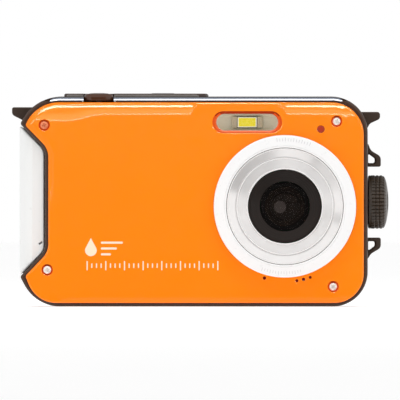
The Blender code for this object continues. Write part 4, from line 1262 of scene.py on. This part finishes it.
def knob_barrel():
    """The knob as a stack of rings: a plain foot, and the grooved barrel with its domed end."""
    sides = TEETH * 10
    angles = [math.tau * i / sides for i in range(sides)]
    foot = ((51.72, 7.6), (51.8, 7.85), (51.95, 7.98), (52.5, 7.98))
    places = [52.7 + 0.11 * i for i in range(41)] + [57.2, 57.35, 57.5, 57.62, 57.7, 57.76, 57.79]
    sections = [(x, circle(KNOB, radius, sides)) for x, radius in foot]
    sections += [(x, [polar(KNOB, knob_radius(x, angle), angle) for angle in angles]) for x in places]
    return stacked("YZ", sections)


def lock():
    """The knurled knob with its finger bar, and the shaft, ring and latch behind it."""
    knob = knob_barrel()
    y, z = KNOB
    for side in (-1, 1):
        scoop = []
        near = y + side * 1.3
        for x, grow in ((56.3, -0.9), (56.5, -0.5), (57.0, -0.1), (59.0, 0.9)):
            far = y + side * (4.2 + grow)
            corners = [(near, z - 3.4 - grow, 0.6), (near, z + 3.4 + grow, 0.6)]
            corners += [(far, z + 1.8 + grow, 1.0), (far, z - 1.8 - grow, 1.0)]
            scoop.append((x, corners))
        cut(knob, lofted("YZ", scoop, 10.0))
    cut(knob, rod("X", 2.2, 51.0, 54.0, KNOB))
    piece(knob, "knob_grip", KNOB_BLACK, "knob_black", "lock_knob", body="lock")
    piece(side_dot(0.0, 2.6, 57.0, 57.75), "knob_dot", PRINT_WHITE, "key_silver", body="lock")
    keep("lock_shaft", STEEL)
    keep("shaft_seal", RUBBER, 0.15)
    latch = slab("YZ", centred(KNOB, 4.0, 16.8, 1.9), 45.8, 47.3, 0.25, 0.25)
    piece(latch, "latch_plate", STEEL, "part_steel", "latch_bar", body="lock")


# ---------------------------------------------------------------- inside and base


def insides():
    """What shows when the side door is open, and the rest of the nodes that stay."""
    low, high = span("battery")
    piece(soft_block(low, high, 0.9, "YZ"), "battery_cell", CELL, "battery_grey", "battery")
    arrow = prism("YZ", [(3.0, 34.5, 0), (4.2, 31.7, 0), (1.8, 31.7, 0)], high.x - 0.02, high.x + 0.03)
    piece(arrow, "battery_arrow", PRINT_WHITE, "key_silver")
    low, high = span("battery_catch")
    lever = soft_block((44.3, low.y, low.z), high, 0.3)
    join(lever, block((low.x, low.y + 0.05, 29.0), (44.6, -1.35, 34.0)))
    piece(lever, "catch_lever", LEVER, "catch_orange", "battery_catch", body="battery_catch")
    low, high = span("memory_card")
    card = slab("XZ", around("memory_card", "XZ", 0.6), low.y, high.y, 0.08, 0.08, 10.0)
    piece(card, "card_body", CHIP, "card_black", "memory_card", body="memory_card")
    low, high = span("usb_port")
    shell = soft_block(low, high, 0.5, "YZ", 10.0)
    cut(shell, prism("YZ", around("usb_port", "YZ", 0.4, -0.4), low.x + 0.8, high.x + 1, 15.0))
    piece(shell, "usb_shell", STEEL, "part_steel", "usb_port")
    tongue = soft_block((low.x + 0.5, -4.0, low.z + 1.4), (high.x - 0.4, -3.4, high.z - 1.4), 0.15)
    piece(tongue, "usb_tongue", CHIP, "chip_black")
    keep("battery_holder", CHIP, 0.15)
    keep("card_socket", STEEL, 0.1)
    for material, names in (
        (BRASS, ("battery_contact",)),
        (BOARD, ("main_board", "keypad_board")),
        (CHIP, ("processor", "image_sensor", "speaker", "lens_holder")),
        (STEEL, ("microphone", "shutter_switch", "power_switch")),
        (FILTER, ("infrared_filter",)),
        (SEAL, ("body_seal",)),
    ):
        for name in names:
            keep(name, material)


def bush():
    """The tripod bush, with its thread as rings down the bore."""
    profile = [(0.0, 7.0, 0), (5.5, 7.0, 0.2), (5.5, 0.02, 0.25), (3.6, 0.02, 0.1), (3.25, 0.35, 0)]
    for i in range(6):
        z = 0.45 + 0.9 * i
        profile += [(3.22, z, 0), (2.95, z + 0.45, 0)]
    profile += [(3.22, 5.9, 0), (0.0, 6.0, 0)]
    piece(turned("Z", profile, TRIPOD, 64), "bush_thread", BUSH, "bush_steel", "tripod_bush")


# ---------------------------------------------------------------- studio


FRONT = (0.0, -1.0, 0.0)
SKY_LEVEL = 0.37
SKY_OVERHEAD = 0.4
# The cards' directions round the front, in degrees up from the right, and how dark each is.
FANS = (
    (-165.0, 0.0), (-150.0, 0.35), (-129.0, 0.35), (-127.0, 0.6), (-123.0, 0.6), (-118.0, 0.2),
    (-95.0, 0.0), (-84.0, 0.1), (-72.0, 0.55), (-40.0, 0.75), (-18.0, 0.7), (-14.0, 0.0),
    (161.0, 0.0), (163.0, 0.45), (170.0, 0.45), (175.0, 0.0),
)
EYE = (1.14, -4000.0, 32.0)
FRAME_WIDTH = 120.0
SENSOR = 36.0


def aim(obj, place, target):
    """Puts a light or the camera in its place, facing a target."""
    obj.location = Vector(place) * MM
    direction = Vector(target) * MM - obj.location
    obj.rotation_euler = direction.to_track_quat("-Z", "Y").to_euler()
    bpy.context.scene.collection.objects.link(obj)


def area_light(name, place, target, size, power, colour=(1, 1, 1)):
    data = bpy.data.lights.new(name, "AREA")
    data.shape = "RECTANGLE"
    data.size = size[0] * MM
    data.size_y = size[1] * MM
    data.energy = power
    data.color = colour
    light = bpy.data.objects.new(name, data)
    light.visible_camera = False
    aim(light, place, target)
    return light


def calculated(world, operation, *values):
    """A sum in the world's nodes, of numbers and of other nodes' values."""
    sum_node = node(world, "Math", operation=operation)
    for socket, value in zip(sum_node.inputs, values):
        if isinstance(value, float):
            socket.default_value = value
        else:
            wire(world, value, socket)
    return sum_node.outputs["Value"]


def toward(world, direction, low, high, share=1.0):
    """A value that rises from 0 to a share as the view turns towards a direction."""
    coordinates = node(world, "TexCoord")
    dot = node(world, "VectorMath", operation="DOT_PRODUCT")
    dot.inputs[1].default_value = Vector(direction).normalized()
    limits = {"From_Min": math.cos(math.radians(low)), "From_Max": math.cos(math.radians(high))}
    ranged = node(world, "MapRange", interpolation_type="SMOOTHSTEP", **limits)
    wire(world, coordinates.outputs["Generated"], dot.inputs[0])
    wire(world, dot.outputs["Value"], ranged.inputs["Value"])
    if share == 1.0:
        return ranged.outputs["Result"]
    return calculated(world, "MULTIPLY", ranged.outputs["Result"], share)


def fans(world):
    """How dark the cards round the front are, by their direction round it."""
    coordinates = node(world, "TexCoord")
    parts = node(world, "SeparateXYZ")
    wire(world, coordinates.outputs["Generated"], parts.inputs["Vector"])
    turn = calculated(world, "ARCTAN2", parts.outputs["Z"], parts.outputs["X"])
    share = calculated(world, "MULTIPLY_ADD", turn, 1 / math.tau, 0.5)
    ramp = node(world, "ValToRGB")
    stops = ramp.color_ramp.elements
    stops.remove(stops[0])
    for i, (degrees, darkness) in enumerate(FANS):
        stop = stops.new(degrees / 360 + 0.5) if i else stops[0]
        stop.position = degrees / 360 + 0.5
        stop.color = (darkness, darkness, darkness, 1.0)
    wire(world, share, ramp.inputs["Fac"])
    return ramp.outputs["Color"]


def sky(scene):
    """Soft light from all round, what gloss mirrors, and a background that shows white."""
    world = bpy.data.worlds.new("studio")
    world.use_nodes = True
    scene.world = world
    path = node(world, "LightPath")
    overhead = toward(world, (0.0, 0.0, 1.0), 100.0, 20.0)
    light = calculated(world, "MULTIPLY_ADD", overhead, SKY_OVERHEAD, SKY_LEVEL)
    shade = calculated(world, "MULTIPLY", fans(world), toward(world, FRONT, 75.0, 60.0))
    middle_gap = calculated(world, "MULTIPLY_ADD", toward(world, FRONT, 30.0, 22.0), -0.5, 1.0)
    shade = calculated(world, "MULTIPLY", shade, middle_gap)
    for direction, low, high, share in ((FRONT, 14.0, 7.0, 0.97), ((0.0, 0.6, 0.8), 60.0, 30.0, 0.7)):
        shade = calculated(world, "MAXIMUM", shade, toward(world, direction, low, high, share))
    mirrored = calculated(world, "MULTIPLY_ADD", shade, -1.0, 1.0)
    nodes = world.node_tree.nodes
    background = nodes["Background"]
    background.inputs["Color"].default_value = (1.0, 1.0, 1.0, 1.0)
    wire(world, light, background.inputs["Strength"])
    shown = background.outputs["Background"]
    for level, ray in ((mirrored, "Is Glossy Ray"), (None, "Is Camera Ray")):
        background = node(world, "Background", Color=(1.0, 1.0, 1.0, 1.0))
        if level:
            wire(world, level, background.inputs["Strength"])
        mix = node(world, "MixShader")
        wire(world, path.outputs[ray], mix.inputs["Fac"])
        wire(world, shown, mix.inputs[1])
        wire(world, background.outputs["Background"], mix.inputs[2])
        shown = mix.outputs["Shader"]
    wire(world, shown, nodes["World Output"].inputs["Surface"])


def glints():
    """Strip lights that only show as highlights, on the piece that is meant to catch them."""
    collections = {}
    for name, receiver in (("cover_glints", "cover_plate"), ("trim_glints", "trim_strip")):
        collections[receiver] = bpy.data.collections.new(name)
        collections[receiver].objects.link(bpy.data.objects[receiver])
    pale, yellow = (1.0, 0.93, 0.8), (1.0, 0.85, 0.45)
    for name, place, size, power, receiver, colour in (
        ("edge_strip", (0.0, -450.0, 650.0), (700.0, 330.0), 30.0, "cover_plate", pale),
        ("low_strip", (0.0, -1000.0, 190.0), (1400.0, 45.0), 8.0, "cover_plate", pale),
        ("band_strip", (0.0, -1000.0, 345.0), (1400.0, 150.0), 3.4, "cover_plate", yellow),
        ("trim_light", (0.0, -450.0, 600.0), (700.0, 200.0), 3.0, "trim_strip", pale),
    ):
        light = area_light(name, place, (0.0, 0.0, 40.0), size, power, colour)
        light.visible_diffuse = False
        light.light_linking.receiver_collection = collections[receiver]


def studio():
    """A pale floor, soft light from above and all round, and the camera in front of the lens side."""
    scene = bpy.context.scene
    scene.view_settings.view_transform = "Standard"
    bm = bmesh.new()
    bmesh.ops.create_grid(bm, x_segments=1, y_segments=1, size=6.0)
    floor = add_object(bm)
    floor.name = "floor"
    floor.location.z = -0.02 * MM
    white = plastic("floor_white", (0.92, 0.92, 0.92), 0.7, spread=0.01, **glow((1.0, 1.0, 1.0), 0.36))
    floor.data.materials.append(white)
    floor.visible_glossy = False
    sky(scene)
    key = area_light("top_light", (0.0, -150.0, 600.0), (0.0, 0.0, 60.0), (700.0, 400.0), 2.6)
    key.visible_glossy = False
    eye = bpy.data.cameras.new("camera")
    eye.sensor_width = SENSOR
    eye.lens = SENSOR * (COVER_FRONT - EYE[1]) / FRAME_WIDTH
    camera = bpy.data.objects.new("camera", eye)
    aim(camera, EYE, (EYE[0], 0.0, EYE[2]))
    scene.camera = camera


studio()
for build in (
    housing_shell, cover_plate, rear_shell, trim_strip, top_pieces, grip, strap_loops, screws,
    lens_front, lens_inside, flash, lamp, print_marks, screen, round_keys, arc_keys, zoom_key,
    door, lock, insides, bush,
):
    build()
glints()
